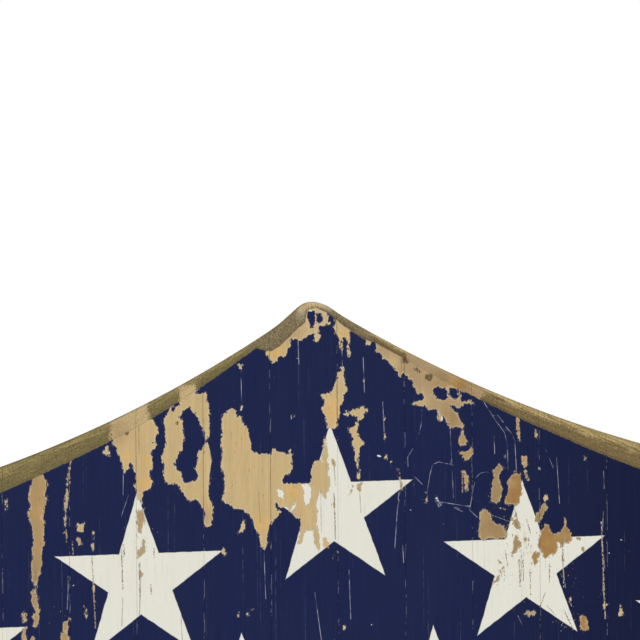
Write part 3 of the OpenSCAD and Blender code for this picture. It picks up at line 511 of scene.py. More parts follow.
class ShieldShape:
    """Outline, bevel and joints of the panel, in millimetres."""

    def __init__(self, sizes):
        low, high = cad_box
        self.half_w = in_mm(high.x)
        self.front_y = in_mm(low.y)
        self.back_y = in_mm(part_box(BOARDS[len(BOARDS) // 2])[1].y)
        self.top_z = in_mm(high.z)
        self.foot_z = in_mm(low.z)
        self.pitch = 2 * self.half_w / len(BOARDS)
        self.lean = sizes.lean
        self.shift = in_mm(sizes.joint_shift)
        self.gap = in_mm(sizes.joint_gap)
        self.low_z = in_mm(sizes.flank_low)
        peak_z = self.low_z + in_mm(sizes.peak_rise)
        self.mid_z = (peak_z + self.foot_z) / 2
        self.shoulder_x = self.half_w - in_mm(sizes.shoulder_in)
        rise = in_mm(sizes.peak_rise)
        self.flank_r = (self.shoulder_x**2 + rise**2) / (2 * rise)
        self.flank_z = self.low_z + self.flank_r
        self.spring_z = self.low_z - in_mm(sizes.side_height)
        drop = self.spring_z - self.foot_z
        self.foot_r = (self.half_w**2 + drop**2) / (2 * self.half_w)
        self.foot_x = self.foot_r - self.half_w
        self.slope = math.tan(sizes.bevel_angle)
        self.bevel_side = in_mm(sizes.bevel_side)

    def joint_x(self, joint, z):
        """Place across of a joint at height z: joint 0 is the middle one."""
        at = (self.shift + joint * self.pitch) / math.cos(self.lean)
        return at + (z - self.mid_z) * math.tan(self.lean)

    def flank_top(self, x):
        """Height of the two hollow flanks' arcs."""
        run = self.shoulder_x - np.abs(x)
        return self.flank_z - np.sqrt(self.flank_r**2 - run**2)

    def outline_top(self, x):
        """Height of the panel's upper edge."""
        places, heights = zip(*PEAK_WEAR)
        return np.minimum(self.flank_top(x) + np.interp(x, places, heights), self.top_z)

    def outline_foot(self, x, inset=0.0):
        """Height of the round lower edge, or of a line inset from it."""
        run = (self.foot_r - inset) ** 2 - (np.abs(x) + self.foot_x) ** 2
        return self.spring_z - np.sqrt(np.clip(run, 0, None))

    def crease_top(self, x):
        """Height of the bevel's inner edge along the flanks."""
        places, widths = zip(*BEVEL_WIDTHS)
        return self.outline_top(x) - np.interp(x, places, widths)

    def bevel(self, x, z):
        """How far a point lies past the bevel's inner edge, and its share of the bevel's width."""
        run = (self.shoulder_x - np.abs(x)) / self.flank_r
        run = np.clip(run, -0.9, 0.9)
        flank_past = (z - self.crease_top(x)) * np.sqrt(1 - run**2)
        flank_share = (z - self.crease_top(x)) / (self.outline_top(x) - self.crease_top(x))
        reach = np.where(
            z > self.spring_z,
            np.abs(x) - self.half_w,
            np.hypot(np.abs(x) + self.foot_x, z - self.spring_z) - self.foot_r,
        )
        side_past = reach + self.bevel_side
        past = np.maximum(flank_past, side_past)
        share = np.maximum(flank_share, side_past / self.bevel_side)
        return past, np.clip(share, 0, 1)


def off_line(start, end, x, z):
    """Distance of each point from the straight line between two places."""
    (ax, az), (bx, bz) = start, end
    ex, ez = bx - ax, bz - az
    along = np.clip(((x - ax) * ex + (z - az) * ez) / (ex * ex + ez * ez), 0, 1)
    return np.hypot(x - ax - along * ex, z - az - along * ez)


def inside_by(outline, x, z):
    """Millimetres that each point lies inside an outline, or outside it as a negative number."""
    nearest = np.full(x.shape, 1e9)
    crossings = np.zeros(x.shape, bool)
    for start, end in zip(outline, outline[1:] + outline[:1]):
        nearest = np.minimum(nearest, off_line(start, end, x, z))
        (ax, az), (bx, bz) = start, end
        if bz != az:
            spans = (az > z) != (bz > z)
            crossings ^= spans & (x < ax + (z - az) * (bx - ax) / (bz - az))
    return np.where(crossings, nearest, -nearest)


def near(outline, x, z, margin=14.0):
    """Which points lie close enough to an outline to matter."""
    xs, zs = zip(*outline)
    across = (x > min(xs) - margin) & (x < max(xs) + margin)
    return across & (z > min(zs) - margin) & (z < max(zs) + margin)


def worn_spots(shape, seed):
    """Lost paint on the rest of the panel: strings of upright ovals, as (x, z, half width, half height)."""
    rng = random.Random(seed)
    ovals = []
    for _ in range(WORN_CHAINS):
        x = rng.uniform(-0.98, 0.98) * shape.half_w
        low, high = float(shape.outline_foot(np.array(x))), float(shape.crease_top(np.array(x)))
        edge = rng.random() < 0.6
        z = rng.uniform(low, high)
        if edge:
            z = low + rng.uniform(15, 130) if rng.random() < 0.6 else high - rng.uniform(0, 60)
        if abs(x) < LISTED_X and z > LISTED_Z:
            continue
        wide = rng.uniform(0.5, 2.6) * (1.7 if edge else 1) * (1.8 if rng.random() < 0.15 else 1)
        drip = 4 if rng.random() < 0.3 else 1
        for _ in range(rng.randint(2, 9)):
            tall = wide * rng.uniform(1.0, 3.5) * drip
            ovals.append((x, z, wide, tall))
            x += rng.uniform(-1, 1) * wide * (1.8 if drip == 1 else 0.5)
            z += rng.uniform(-1, 1) * tall * 1.1
            wide *= rng.uniform(0.65, 1.2)
    return ovals


def spots_at(x, z, spots):
    """Strongest of some round spots at each point: 1 in a spot's middle, fading with its radius."""
    strength = np.zeros(x.shape)
    for (cx, cz), radius, power in spots:
        strength = np.maximum(strength, power * np.exp(-((x - cx) ** 2 + (z - cz) ** 2) / radius**2))
    return strength


def areas_at(x, z, outlines):
    """How far each point lies inside the nearest of some outlines."""
    depth = np.full(x.shape, -FAR)
    for outline in outlines:
        here = near(outline, x, z)
        depth[here] = np.maximum(depth[here], inside_by(outline, x[here], z[here]))
    return depth


def lost_paint_at(x, z, ovals):
    """How far each point of the face lies inside lost paint, and the bare wood's colour there."""
    lost = np.full(x.shape, -FAR)
    colour = np.tile(np.array(STRAW), (len(x), 1))
    outlines = [(tint, outline) for tint, group in LOST_PAINT.items() for outline in group]
    for tint, outline in outlines:
        here = near(outline, x, z)
        depth = inside_by(outline, x[here], z[here])
        nearer = depth > lost[here]
        rows = np.flatnonzero(here)[nearer]
        lost[rows] = depth[nearer]
        colour[rows] = tint
    for outline in KEPT_PAINT:
        here = near(outline, x, z)
        lost[here] = np.minimum(lost[here], -inside_by(outline, x[here], z[here]))
    for fleck in FLECKS:
        here = near(fleck, x, z, 6)
        depth = FLECK_HALF - off_line(*fleck, x[here], z[here])
        lost[here] = np.maximum(lost[here], depth)
    sway_x = 1.6 * np.sin(z / 4.3 + np.sin(x / 9.0) * 2) + 0.9 * np.sin(z / 1.9 + x / 5.1)
    sway_z = 3.0 * np.sin(x / 2.9 + z / 17.0) + 2.0 * np.sin(x / 1.7 + z / 6.3)
    for cx, cz, wide, tall in ovals:
        here = (np.abs(x - cx) < wide + 14) & (np.abs(z - cz) < tall + 14)
        across, up = x[here] - cx + sway_x[here], z[here] - cz + sway_z[here]
        depth = (1 - np.hypot(across / wide, up / tall)) * wide
        lost[here] = np.maximum(lost[here], depth)
    for (cx, cz), radius, tint in TINT_SPOTS:
        share = 0.85 * np.exp(-((x - cx) ** 2 + (z - cz) ** 2) / radius**2)[:, None]
        colour = colour * (1 - share) + np.array(tint) * share
    return lost, colour


def strokes_at(x, z, strokes):
    """Signed offset of each point from the nearest stroke's line, and 1 on the stroke down to 0 far off."""
    offset = np.full(x.shape, STROKE_REACH)
    closeness = np.zeros(x.shape)
    for stroke in strokes:
        for start, end in zip(stroke, stroke[1:]):
            here = near([start, end], x, z, STROKE_REACH)
            run = np.hypot(end[0] - start[0], end[1] - start[1])
            ex, ez = (end[0] - start[0]) / run, (end[1] - start[1]) / run
            px, pz = x[here] - start[0], z[here] - start[1]
            along = np.clip(px * ex + pz * ez, 0, run)
            close = 1 - np.hypot(px - along * ex, pz - along * ez) / STROKE_REACH
            closer = close > closeness[here]
            rows = np.flatnonzero(here)[closer]
            closeness[rows] = close[closer]
            offset[rows] = (px * ez - pz * ex)[closer]
    return offset, closeness


def strip_section(shape, sizes, strip):
    """Points round a strip's section, from the front's left corner and back to it.

    Each has its share of the way across, its step past that, its depth,
    and 1 on the front or -1 on the back."""
    last = len(BOARDS) - 1
    front, back = shape.front_y, shape.back_y
    mid = (front + back) / 2
    edge = CORNER_STEPS / shape.pitch
    count = round(shape.pitch / in_mm(sizes.column_pitch))
    fine = np.linspace(edge[-1] * 2, 1 - edge[-1] * 2, count)
    coarse = np.linspace(edge[-1] * 2, 1 - edge[-1] * 2, 11)
    tongue, air = in_mm(sizes.tongue_length), in_mm(sizes.tongue_air)
    half = in_mm(sizes.tongue_width) / 2
    points = [(s, 0.0, front, 1.0) for s in (*edge, *fine, *(1 - edge[::-1]))]
    if strip == last:
        points += [(1.0, 0.0, y, 0.0) for y in np.linspace(front + 4, back - 4, 3)]
    else:
        points += [(1.0, 0.0, mid - half, 0.0), (1.0, tongue, mid - half, 0.0)]
        points += [(1.0, tongue, mid + half, 0.0), (1.0, 0.0, mid + half, 0.0)]
    points += [(s, 0.0, back, -1.0) for s in (*(1 - edge), *coarse[::-1], *edge[::-1])]
    if strip == 0:
        points += [(0.0, 0.0, y, 0.0) for y in np.linspace(back - 4, front + 4, 3)]
    else:
        deep, wide = tongue + 2 * air, half + air
        points += [(0.0, 0.0, mid + wide, 0.0), (0.0, deep, mid + wide, 0.0)]
        points += [(0.0, deep, mid - wide, 0.0), (0.0, 0.0, mid - wide, 0.0)]
    points.append(points[0])
    return [np.array(column) for column in zip(*points)]


def strip_sides(shape, strip):
    """Where a strip's left and right edges run, as functions of the height."""
    middle = len(BOARDS) / 2

    def left(z):
        return -shape.half_w + 0 * z if strip == 0 else shape.joint_x(strip - middle, z) + shape.gap / 2

    def right(z):
        last = strip == len(BOARDS) - 1
        return shape.half_w + 0 * z if last else shape.joint_x(strip + 1 - middle, z) - shape.gap / 2

    return left, right


def strip_levels(shape, sizes, strip, across, share):
    """Heights of a strip's rows of points, with the cut ends' heights: foot, top and all rows."""

    def settled(height_of):
        z = np.zeros(share.shape)
        for _ in range(14):
            z = height_of(np.clip(across(z), -shape.half_w, shape.half_w))
        return z

    top, foot = settled(shape.outline_top), settled(shape.outline_foot)
    crease = settled(shape.crease_top)
    foot_crease = settled(lambda x: shape.outline_foot(x, shape.bevel_side))
    foot_crease = np.maximum(foot_crease, foot + 1.5 * END_ROUND)
    split = np.minimum(QUIET_Z, crease - 150)
    split = np.maximum(split, foot_crease + 40)
    detailed = abs(strip + 0.5 - len(BOARDS) / 2) * shape.pitch < DETAILED_X
    fine = in_mm(sizes.row_pitch) * (1 if detailed else 2)
    bands = [
        (foot + END_ROUND, foot_crease, 7),
        (foot_crease, split, round(float((split - foot_crease).max()) / QUIET_PITCH) + 2),
        (split, crease, round(float((crease - split).max()) / fine)),
        (crease, top - END_ROUND, 9),
    ]
    levels = [foot + d for d in END_STEPS[:-1]]
    for low, high, count in bands:
        levels += [low + (high - low) * k / count for k in range(count)]
    levels += [top - d for d in END_STEPS[::-1]]
    return foot, top, np.array(levels)


def strip_grid(shape, sizes, strip, ovals):
    """Places of a strip's mesh, one row of points per level, and which columns are its front."""
    left, right = strip_sides(shape, strip)
    share, step, depth, side = strip_section(shape, sizes, strip)

    def across(z, past=step):
        return left(z) + (right(z) - left(z)) * share + past

    foot, top, z = strip_levels(shape, sizes, strip, across, share)
    past, _ = shape.bevel(np.clip(across(z), -shape.half_w, shape.half_w), z)
    cut = shape.front_y + np.clip(past, 0, None) * shape.slope
    tongue_back = (shape.front_y + shape.back_y + in_mm(sizes.tongue_width)) / 2
    room = np.clip(tongue_back - cut - HIDDEN_UNDER_BEVEL, 0, 1)
    x = np.clip(across(z, step * room), -shape.half_w, shape.half_w)

    # The front's own shape: cupped strips, softened corners, sunken bare wood and a knife-cut bevel
    rng = random.Random(sizes.seed * 100 + strip)
    set_back = rng.uniform(0.0, 0.25)
    phase = rng.uniform(0, 6)
    cup = in_mm(sizes.cup) * (2 * share - 1) ** 2
    lost, _ = lost_paint_at(x.ravel(), z.ravel(), ovals)
    sunk = np.clip(lost.reshape(z.shape) / 1.2 + 0.5, 0, 1) * in_mm(sizes.paint_depth)
    wave = 0.5 + 0.5 * np.sin(z / 37 + phase) * np.cos(z / 93 + 2 * phase)
    to_side = np.minimum(x - left(z), right(z) - x)
    corner = np.interp(to_side, CORNER_STEPS, CORNER_DROP)
    chatter = np.sin(x / 3.1 + phase) * np.sin(z / 2.3 + x / 7.7) + np.sin(x / 9.1) * np.sin(z / 5.9)
    rough = np.clip(past / 2, 0, 1) * (0.25 + 0.12 * chatter)
    relief = set_back + cup + 0.12 * wave + sunk + corner + rough
    under = np.maximum(depth, cut + HIDDEN_UNDER_BEVEL)
    y = np.where(side > 0, np.maximum(depth, cut) + relief, under)
    y = np.where(side < 0, depth - 2.2 * corner - 0.3 * set_back, y)
    end = np.minimum(z - foot, top - z)
    tuck = END_ROUND - np.sqrt(np.clip(END_ROUND**2 - np.clip(END_ROUND - end, 0, None) ** 2, 0, None))
    low_y = np.maximum(cut, shape.front_y) + tuck
    y = np.clip(y, low_y, shape.back_y - tuck)
    return np.stack([x, y, z], axis=-1) * MM, side


def new_piece(name, bm, materials, body):
    """Makes a piece of a finished bmesh and tells the frame what it is."""
    mesh = bpy.data.meshes.new(name)
    bm.to_mesh(mesh)
    bm.free()
    piece = bpy.data.objects.new(name, mesh)
    bpy.context.scene.collection.objects.link(piece)
    for material in materials:
        mesh.materials.append(material)
    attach(piece, body)
    return piece


def grid_mesh(places):
    """A bmesh grid whose points stand at the given places, one row after another."""
    rows, columns = places.shape[:2]
    bm = bmesh.new()
    bmesh.ops.create_grid(bm, x_segments=columns - 1, y_segments=rows - 1, size=0.5)
    for vert in bm.verts:
        column = round((vert.co.x + 0.5) * (columns - 1))
        row = round((vert.co.y + 0.5) * (rows - 1))
        vert.co = places[row, column]
    return bm


def write_attribute(mesh, name, values):
    """Gives each point of a mesh a number that a finish can read."""
    attribute = mesh.attributes.new(name, "FLOAT", "POINT")
    attribute.data.foreach_set("value", np.ascontiguousarray(values, np.float32))


def write_paint(mesh, shape, ovals):
    """Gives a strip's points the attributes that its paint is drawn from."""
    places = np.zeros(len(mesh.vertices) * 3)
    mesh.vertices.foreach_get("co", places)
    x, _, z = places.reshape(-1, 3).T / MM
    lost, colour = lost_paint_at(x, z, ovals)
    past, share = shape.bevel(x, z)
    white = [radius - np.hypot(x - cx, z - cz) for (cx, cz), radius in PRIMER_SPECKS]
    write_attribute(mesh, "primer_and_highlight", np.maximum(areas_at(x, z, PRIMER_AND_HIGHLIGHT), np.max(white, axis=0)))
    write_attribute(mesh, "lost_paint", lost)
    write_attribute(mesh, "fresh_bevel", areas_at(x, z, FRESH_BEVEL))
    write_attribute(mesh, "peppered", spots_at(x, z, PEPPERED))
    for name, strokes in (("scratch", SCRATCHES), ("crack", CRACKS), ("dotted", DOTTED)):
        offset, closeness = strokes_at(x, z, strokes)
        write_attribute(mesh, name + "_offset", offset)
        write_attribute(mesh, name + "_close", closeness)
    rings = [np.hypot(x - kx, z - kz) - radius for (kx, kz), radius in KNOTS]
    write_attribute(mesh, "knot_ring", np.minimum(np.min(rings, axis=0), FAR))
    write_attribute(mesh, "past_crease", np.clip(past, -40, 40))
    write_attribute(mesh, "bevel_share", share)
    tint = mesh.attributes.new("bare_wood", "FLOAT_COLOR", "POINT")
    tint.data.foreach_set("color", np.column_stack([colour, np.ones(len(colour))]).astype(np.float32).ravel())


def make_strip(shape, sizes, strip, ovals, face_finish, wood_finish):
    """One tongue-and-groove strip, cut to the shield's outline."""
    places, side = strip_grid(shape, sizes, strip, ovals)
    bm = grid_mesh(places)
    columns = len(side)
    bm.verts.ensure_lookup_table()
    bm.verts.index_update()
    face_columns = int((side[:-1] > 0).sum())
    for face in bm.faces:
        face.smooth = True
        face.material_index = 0 if max(v.index % columns for v in face.verts) < face_columns else 1
    bmesh.ops.remove_doubles(bm, verts=bm.verts, dist=1e-7)
    ends = bmesh.ops.holes_fill(bm, edges=[e for e in bm.edges if e.is_boundary], sides=0)
    for face in ends["faces"]:
        face.material_index = 1
    bmesh.ops.dissolve_degenerate(bm, dist=1e-7, edges=bm.edges)
    bmesh.ops.recalc_face_normals(bm, faces=bm.faces)
    caps = [f for f in bm.faces if len(f.verts) > 4]
    bmesh.ops.triangulate(bm, faces=caps)
    name = BOARDS[strip].replace("board", "strip")
    piece = new_piece(name, bm, [face_finish, wood_finish], "panel")
    write_paint(piece.data, shape, ovals)
    piece.data.set_sharp_from_angle(angle=math.radians(35))
    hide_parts(BOARDS[strip])


# ---------------------------------------------------------------- finishes


class Term:
    """A value that comes out of a node. Sums written with it add Math nodes."""

    def __init__(self, finish, socket):
        self.finish = finish
        self.socket = socket

    def math(self, operation, *others):
        return self.finish.node("ShaderNodeMath", {"operation": operation}, [self, *others])

    def __add__(self, other):
        return self.math("ADD", other)

    def __radd__(self, other):
        return self.math("ADD", other)

    def __sub__(self, other):
        return self.math("SUBTRACT", other)

    def __rsub__(self, other):
        return self.finish.node("ShaderNodeMath", {"operation": "SUBTRACT"}, [other, self])

    def __mul__(self, other):
        return self.math("MULTIPLY", other)

    def __rmul__(self, other):
        return self.math("MULTIPLY", other)

    def __truediv__(self, other):
        return self.math("DIVIDE", other)

    def __abs__(self):
        return self.math("ABSOLUTE")

    def at_least(self, other):
        return self.math("MAXIMUM", other)

    def at_most(self, other):
        return self.math("MINIMUM", other)

    def clamped(self):
        return self.finish.node("ShaderNodeClamp", {}, {"Value": self})

    def edge(self, softness=1.0):
        """1 well above nought and 0 well below it, with a soft step between."""
        return (self / softness + 0.5).clamped()


class Nodes:
    """A node tree of its own, and the one way in which nodes are added to it."""

    def __init__(self, owner):
        owner.use_nodes = True
        self.tree = owner.node_tree
        self.tree.nodes.clear()
        self.count = 0

    def node(self, kind, settings, sockets, out=0):
        """Adds a node: its settings first, then a value or link for each socket."""
        made = self.tree.nodes.new(kind)
        made.location = (-500 - 180 * (self.count // 12), 600 - 130 * (self.count % 12))
        made.hide = True
        self.count += 1
        for key, value in settings.items():
            setattr(made, key, value)
        pairs = sockets.items() if isinstance(sockets, dict) else enumerate(sockets)
        for key, value in pairs:
            self.feed(made.inputs[key], value)
        return Term(self, made.outputs[out]) if made.outputs else None

    def feed(self, socket, value):
        """Links a term to a socket, or sets the socket's value."""
        if isinstance(value, Term):
            self.tree.links.new(value.socket, socket)
        elif socket.type == "RGBA":
            socket.default_value = (*value[:3], 1)
        else:
            socket.default_value = value


class Finish(Nodes):
    """A material with one Principled shader, and the nodes that feed it."""

    def __init__(self, name, roughness=0.6, metallic=0.0, gloss=0.2):
        self.material = bpy.data.materials.new(name)
        super().__init__(self.material)
        looks = {"Roughness": roughness, "Metallic": metallic, "Specular IOR Level": gloss}
        surface = self.node("ShaderNodeBsdfPrincipled", {}, looks)
        self.node("ShaderNodeOutputMaterial", {}, {"Surface": surface})
        self.shader = surface.socket.node

    def set(self, name, value):
        """Feeds a socket of the Principled shader."""
        self.feed(self.shader.inputs[name], value)

    def vector(self, operation, *values, out=0):
        return self.node("ShaderNodeVectorMath", {"operation": operation}, values, out)

    def attribute(self, name, out="Fac"):
        return self.node("ShaderNodeAttribute", {"attribute_name": name}, {}, out)

    def place(self):
        """The point's place in millimetres: across, deep and up."""
        metres = self.node("ShaderNodeTexCoord", {}, {}, "Object")
        point = self.vector("MULTIPLY", metres, (1 / MM, 1 / MM, 1 / MM))
        return point, [self.node("ShaderNodeSeparateXYZ", {}, [point], k) for k in range(3)]

    def combine(self, x, y, z):
        return self.node("ShaderNodeCombineXYZ", {}, [x, y, z])

    def noise(self, vector, detail=2.0, roughness=0.5, scale=1.0, contrast=1.0):
        sockets = {"Vector": vector, "Scale": scale, "Detail": detail, "Roughness": roughness}
        made = self.node("ShaderNodeTexNoise", {}, sockets)
        return made if contrast == 1.0 else (made * contrast + (0.5 - contrast / 2)).clamped()

    def mix(self, factor, first, second):
        return self.node("ShaderNodeMix", {"data_type": "RGBA"}, {0: factor, 6: first, 7: second}, 2)

    def scaled(self, colour, amount):
        return self.node("ShaderNodeVectorMath", {"operation": "SCALE"}, {0: colour, "Scale": amount})

    def bump(self, height, strength=1.0):
        """Height in millimetres."""
        sockets = {"Strength": strength, "Distance": MM, "Height": height}
        self.set("Normal", self.node("ShaderNodeBump", {}, sockets))

    def stroke(self, name, width):
        """1 on the strokes of a vertex attribute pair, 0 off them."""
        line = (width - abs(self.attribute(name + "_offset"))).edge(0.35)
        return line * (self.attribute(name + "_close") - 0.6).edge(0.2)


def star_row(x, first_x, pitch, low, high, half_step):
    """Which star of a row is nearest to a point, as its steps from the row's middle."""
    number = ((x - first_x) / pitch - half_step).at_least(low).at_most(high).math("ROUND")
    return number + half_step


def star_depth(finish, x, z, centre_x, centre_z, radius):
    """Millimetres inside a five-pointed star that stands on two points."""
    fifth = math.radians(72)
    across, up = x - centre_x, z - centre_z
    reach = finish.vector("LENGTH", finish.combine(across, up, 0.0), out="Value")
    turn = across.math("ARCTAN2", up).math("PINGPONG", fifth / 2)
    return radius * math.cos(fifth) - reach * (turn - fifth).math("COSINE")


def on_strips(shape, x, z):
    """Where a point is on the strips: way across the leaning strips, strip number, and way to a joint."""
    along = x - (z - shape.mid_z) * math.tan(shape.lean) - shape.shift
    return along, (along / shape.pitch).math("FLOOR"), abs(along).math("PINGPONG", shape.pitch / 2)


class PaintedPine(Finish):
    """The front of the strips: old paint over pine, with a bare and weathered bevel."""

    def __init__(self, shape, colours, pattern):
        super().__init__("painted pine", roughness=0.62, gloss=0.06)
        self.shape = shape
        _, (self.x, _, self.z) = self.place()
        self.flat = self.combine(self.x, 0.0, self.z)
        self.along, self.strip, self.joint = on_strips(shape, self.x, self.z)
        self.fine = self.grain(1.1, 0.035, 3.0, 0.6)
        self.coarse = self.grain(0.16, 0.006, 2.0, 0.5, 11.0)
        self.broken = self.grain(0.5, 0.12, 2.0, 0.6, 31.0)
        self.vertical = self.grain(0.7, 0.012, 2.0, 0.6, 21.0)
        self.mottle = self.cloud(0.02, 0.012, 3.0, 0.6)
        self.past = self.attribute("past_crease")
        self.share = self.attribute("bevel_share")
        self.wood_tint = self.attribute("bare_wood", "Color")
        self.find_lost_paint()
        paint = self.add_lines(self.stars_and_stripes(colours, pattern))
        pine = self.bare_pine()
        face, crack = self.chipped(paint, pine)
        self.add_bevel(face, crack, colours)

    def grain(self, across, up, detail=2.0, roughness=0.5, offset=0.0):
        """Noise drawn out along the strips, and different on each."""
        vector = self.combine(self.along * across, self.strip * 3.7 + offset, self.z * up)
        return self.noise(vector, detail, roughness)

    def cloud(self, across, up, detail, roughness, deep=0.0, contrast=1.0):
        """Noise that runs over the joints."""
        vector = self.combine(self.x * across, deep, self.z * up)
        return self.noise(vector, detail, roughness, contrast=contrast)

    def find_lost_paint(self):
        """Where the paint is off: in the listed chips, in small specks and in popped dots."""
        # Chips break off in small flakes, so the paint's edge steps from flake to flake
        bent = self.combine(self.x * 0.7 + self.broken * 2, 0.0, self.z * 0.5 + self.broken * 2)
        flake = self.node(
            "ShaderNodeTexVoronoi", {"feature": "F1", "voronoi_dimensions": "3D"},
            {"Vector": bent, "Scale": 1.0, "Randomness": 1.0}, "Color",
        )
        flake = self.node("ShaderNodeSeparateXYZ", {}, [flake])
        self.ragged = (self.grain(0.3, 0.18, 2.0, 0.5, 5.0) - 0.5) * 4.0 + (flake - 0.5) * 1.5
        self.lost = self.attribute("lost_paint")
        pepper = self.attribute("peppered")
        popped = self.stroke("dotted", 0.35 + self.broken * 0.5) * 2.0 - 1.0
        dots = self.noise(self.combine(self.strip, self.along * 1.3, self.z * 0.55), 2.0, 0.6)
        popped = popped * (dots - 0.5).edge(0.05)
        self.speck = (self.grain(0.8, 0.32, 3.0, 0.65, 81.0) - 0.775 + pepper * 0.2) * 14.0
        self.chip = self.lost + self.ragged + 0.15
        depth = self.chip.at_least(self.speck).at_least(popped * 1.5 - 0.6)
        self.bare = depth.edge(0.5)
        self.lip = (1 - abs(depth - 0.5) / 0.7).clamped()

    def stars_and_stripes(self, colours, pattern):
        """Sound paint: two chevron rows of stars, the field behind them, and the stripes below."""
        x, z = self.x, self.z
        star_x, star_z = in_mm(pattern.star_x), in_mm(pattern.star_z)
        radius, pitch = in_mm(pattern.star_radius), in_mm(pattern.star_pitch)
        wobble = (self.noise(self.flat, 2.0, 0.6, 0.12) - 0.5) * 1.2
        first = star_row(x, star_x, pitch, -3, 3, 0.0)
        steps = abs(first)
        upper = star_depth(
            self, x, z,
            first * pitch - steps * UPPER_DRAW_IN + star_x,
            first * UPPER_TILT - steps * UPPER_DROP - first * first * UPPER_BOW + star_z,
            (1 - abs(first + 1)).clamped() * LARGE_STAR + radius,
        )
        pitch -= LOWER_DRAW_IN
        second = star_row(x, star_x, pitch, -3, 2, 0.5)
        lower = star_depth(
            self, x, z,
            second * pitch + star_x,
            abs(second) * -LOWER_DROP + (star_z - ROW_GAP),
            radius + 0 * second,
        )
        star = (upper.at_least(lower) + wobble).edge(0.6)
        stripe_w = 2 * self.shape.half_w / pattern.stripes
        stripe = ((x + self.shape.half_w) * (math.pi / stripe_w)).math("SINE") * (stripe_w / math.pi)
        stripe = (stripe + wobble).edge(0.5)
        below = (in_mm(pattern.field_low) - z + wobble).edge(0.5)
        shade = (1.22 - x * 0.0022).at_most(1.0).at_least(0.62)
        navy = self.mix(self.mottle, colours.navy, shade_of(30, 38, 70))
        navy = self.scaled(navy, (0.66 + self.vertical * 0.4 + self.fine * 0.34) * shade)
        cream = self.mix(self.coarse, colours.cream, shade_of(229, 227, 213))
        cream = self.scaled(cream, 0.95 + self.fine * 0.1)
        red = self.mix(self.mottle, colours.red, shade_of(120, 40, 34))
        red = self.scaled(red, 0.75 + self.vertical * 0.5)
        paint = self.mix(below, self.mix(star, navy, cream), self.mix(stripe, cream, red))
        self.pale_paint = (star * (1 - below)).at_least(below * (1 - stripe))
        return paint

    def add_lines(self, paint):
        """Rubbed lines and scratches show pale on the dark paint, and checks show grey on the cream."""
        self.faded = self.cloud(0.04, 0.07, 2.0, 0.6)
        scratch = self.stroke("scratch", 0.22) * ((self.faded - 0.36) * 5).clamped()
        scratch = scratch * (self.broken * 4 - 1.2).clamped()
        hairline = (self.grain(1.6, 0.006, 1.0, 0.5, 41.0) - 0.75).edge(0.05)
        hairline = hairline * (self.broken - 0.47).edge(0.12)
        joint_rub = (0.4 - self.joint).edge(0.4)
        joint_rub = joint_rub * (self.grain(0.05, 0.09, 3.0, 0.7, 51.0) - 0.56).edge(0.05)
        pale_line = (scratch * 0.7).at_least(hairline * 0.16).at_least(joint_rub * 0.32)
        check = (self.grain(1.3, 0.02, 2.0, 0.7, 61.0) - 0.665).edge(0.08)
        check = check * (self.broken - 0.45).edge(0.2) * 0.35
        line = self.mix(self.pale_paint, pale_line, check)
        grey = self.mix(self.pale_paint, shade_of(206, 205, 212), shade_of(140, 128, 108))
        return self.mix(line, paint, grey)

    def bare_pine(self):
        """The wood where the paint is off, with its pits, knots, the paint's pale broken edge and a painted
        shadow along the pale paint's edge.
        """
        broken = self.broken
        patchy = (self.coarse * 1.5 - 0.25).clamped()
        tone = self.mix(patchy, self.wood_tint, self.scaled(self.wood_tint, 0.86))
        warm = (self.faded * 3 - 1.35).clamped() * 0.45
        tone = self.mix(warm, tone, self.mix(0.5, tone, shade_of(222, 172, 112)))
        pine = self.scaled(tone, 0.74 + self.fine * 0.34 + self.vertical * 0.12 + broken * 0.14)
        pit = (self.grain(0.9, 0.16, 2.0, 0.6, 71.0) - 0.7).edge(0.06) * 0.45
        ring = self.attribute("knot_ring") + (broken - 0.5) * 5.0
        knot = (1.3 - abs(ring) / 1.1).clamped() * 0.8
        knot = knot.at_least((-0.6 - ring).edge(0.7) * (0.35 + self.vertical))
        pine = self.mix(pit.at_least(knot), pine, shade_of(70, 57, 41))
        pine = self.mix(self.lip * (0.15 + broken * 0.5), pine, shade_of(226, 212, 184))
        # Painted shadow: darker bare wood along the broken edge of the pale paint
        paint_edge_shadow = (0.2 - self.lost - self.ragged).edge(0.8) * self.pale_paint * 0.55
        return self.mix(paint_edge_shadow, pine, shade_of(92, 78, 58))

    def chipped(self, paint, pine):
        """Paint and bare pine together, and the dark cracks that run through both."""
        broken = self.broken
        skin = (1 - abs(self.chip + 0.4) / 0.45).clamped() * (broken * 1.2 - 0.3).clamped()
        skin = skin * (1 - self.pale_paint)
        dust = (-0.545 - self.speck / 14).edge(0.03)
        paint = self.mix(skin.at_least(dust * 0.5) * 0.5, paint, shade_of(160, 156, 160))
        # White undercoat, with a painted highlight at the peak's tip
        primer_and_highlight = (self.attribute("primer_and_highlight") + self.ragged * 0.4).edge(0.5)
        paint = self.mix(primer_and_highlight, paint, shade_of(240, 240, 232))
        face = self.mix(self.bare, paint, pine)
        crack = self.stroke("crack", 0.4) * (broken * 2.0 - 0.5).clamped()
        open_joint = (0.3 - self.joint).edge(0.5) * self.bare * (broken * 2 - 0.6).clamped()
        crack = crack.at_least(open_joint * 0.8)
        return self.mix(crack * 0.75, face, shade_of(98, 84, 66)), crack

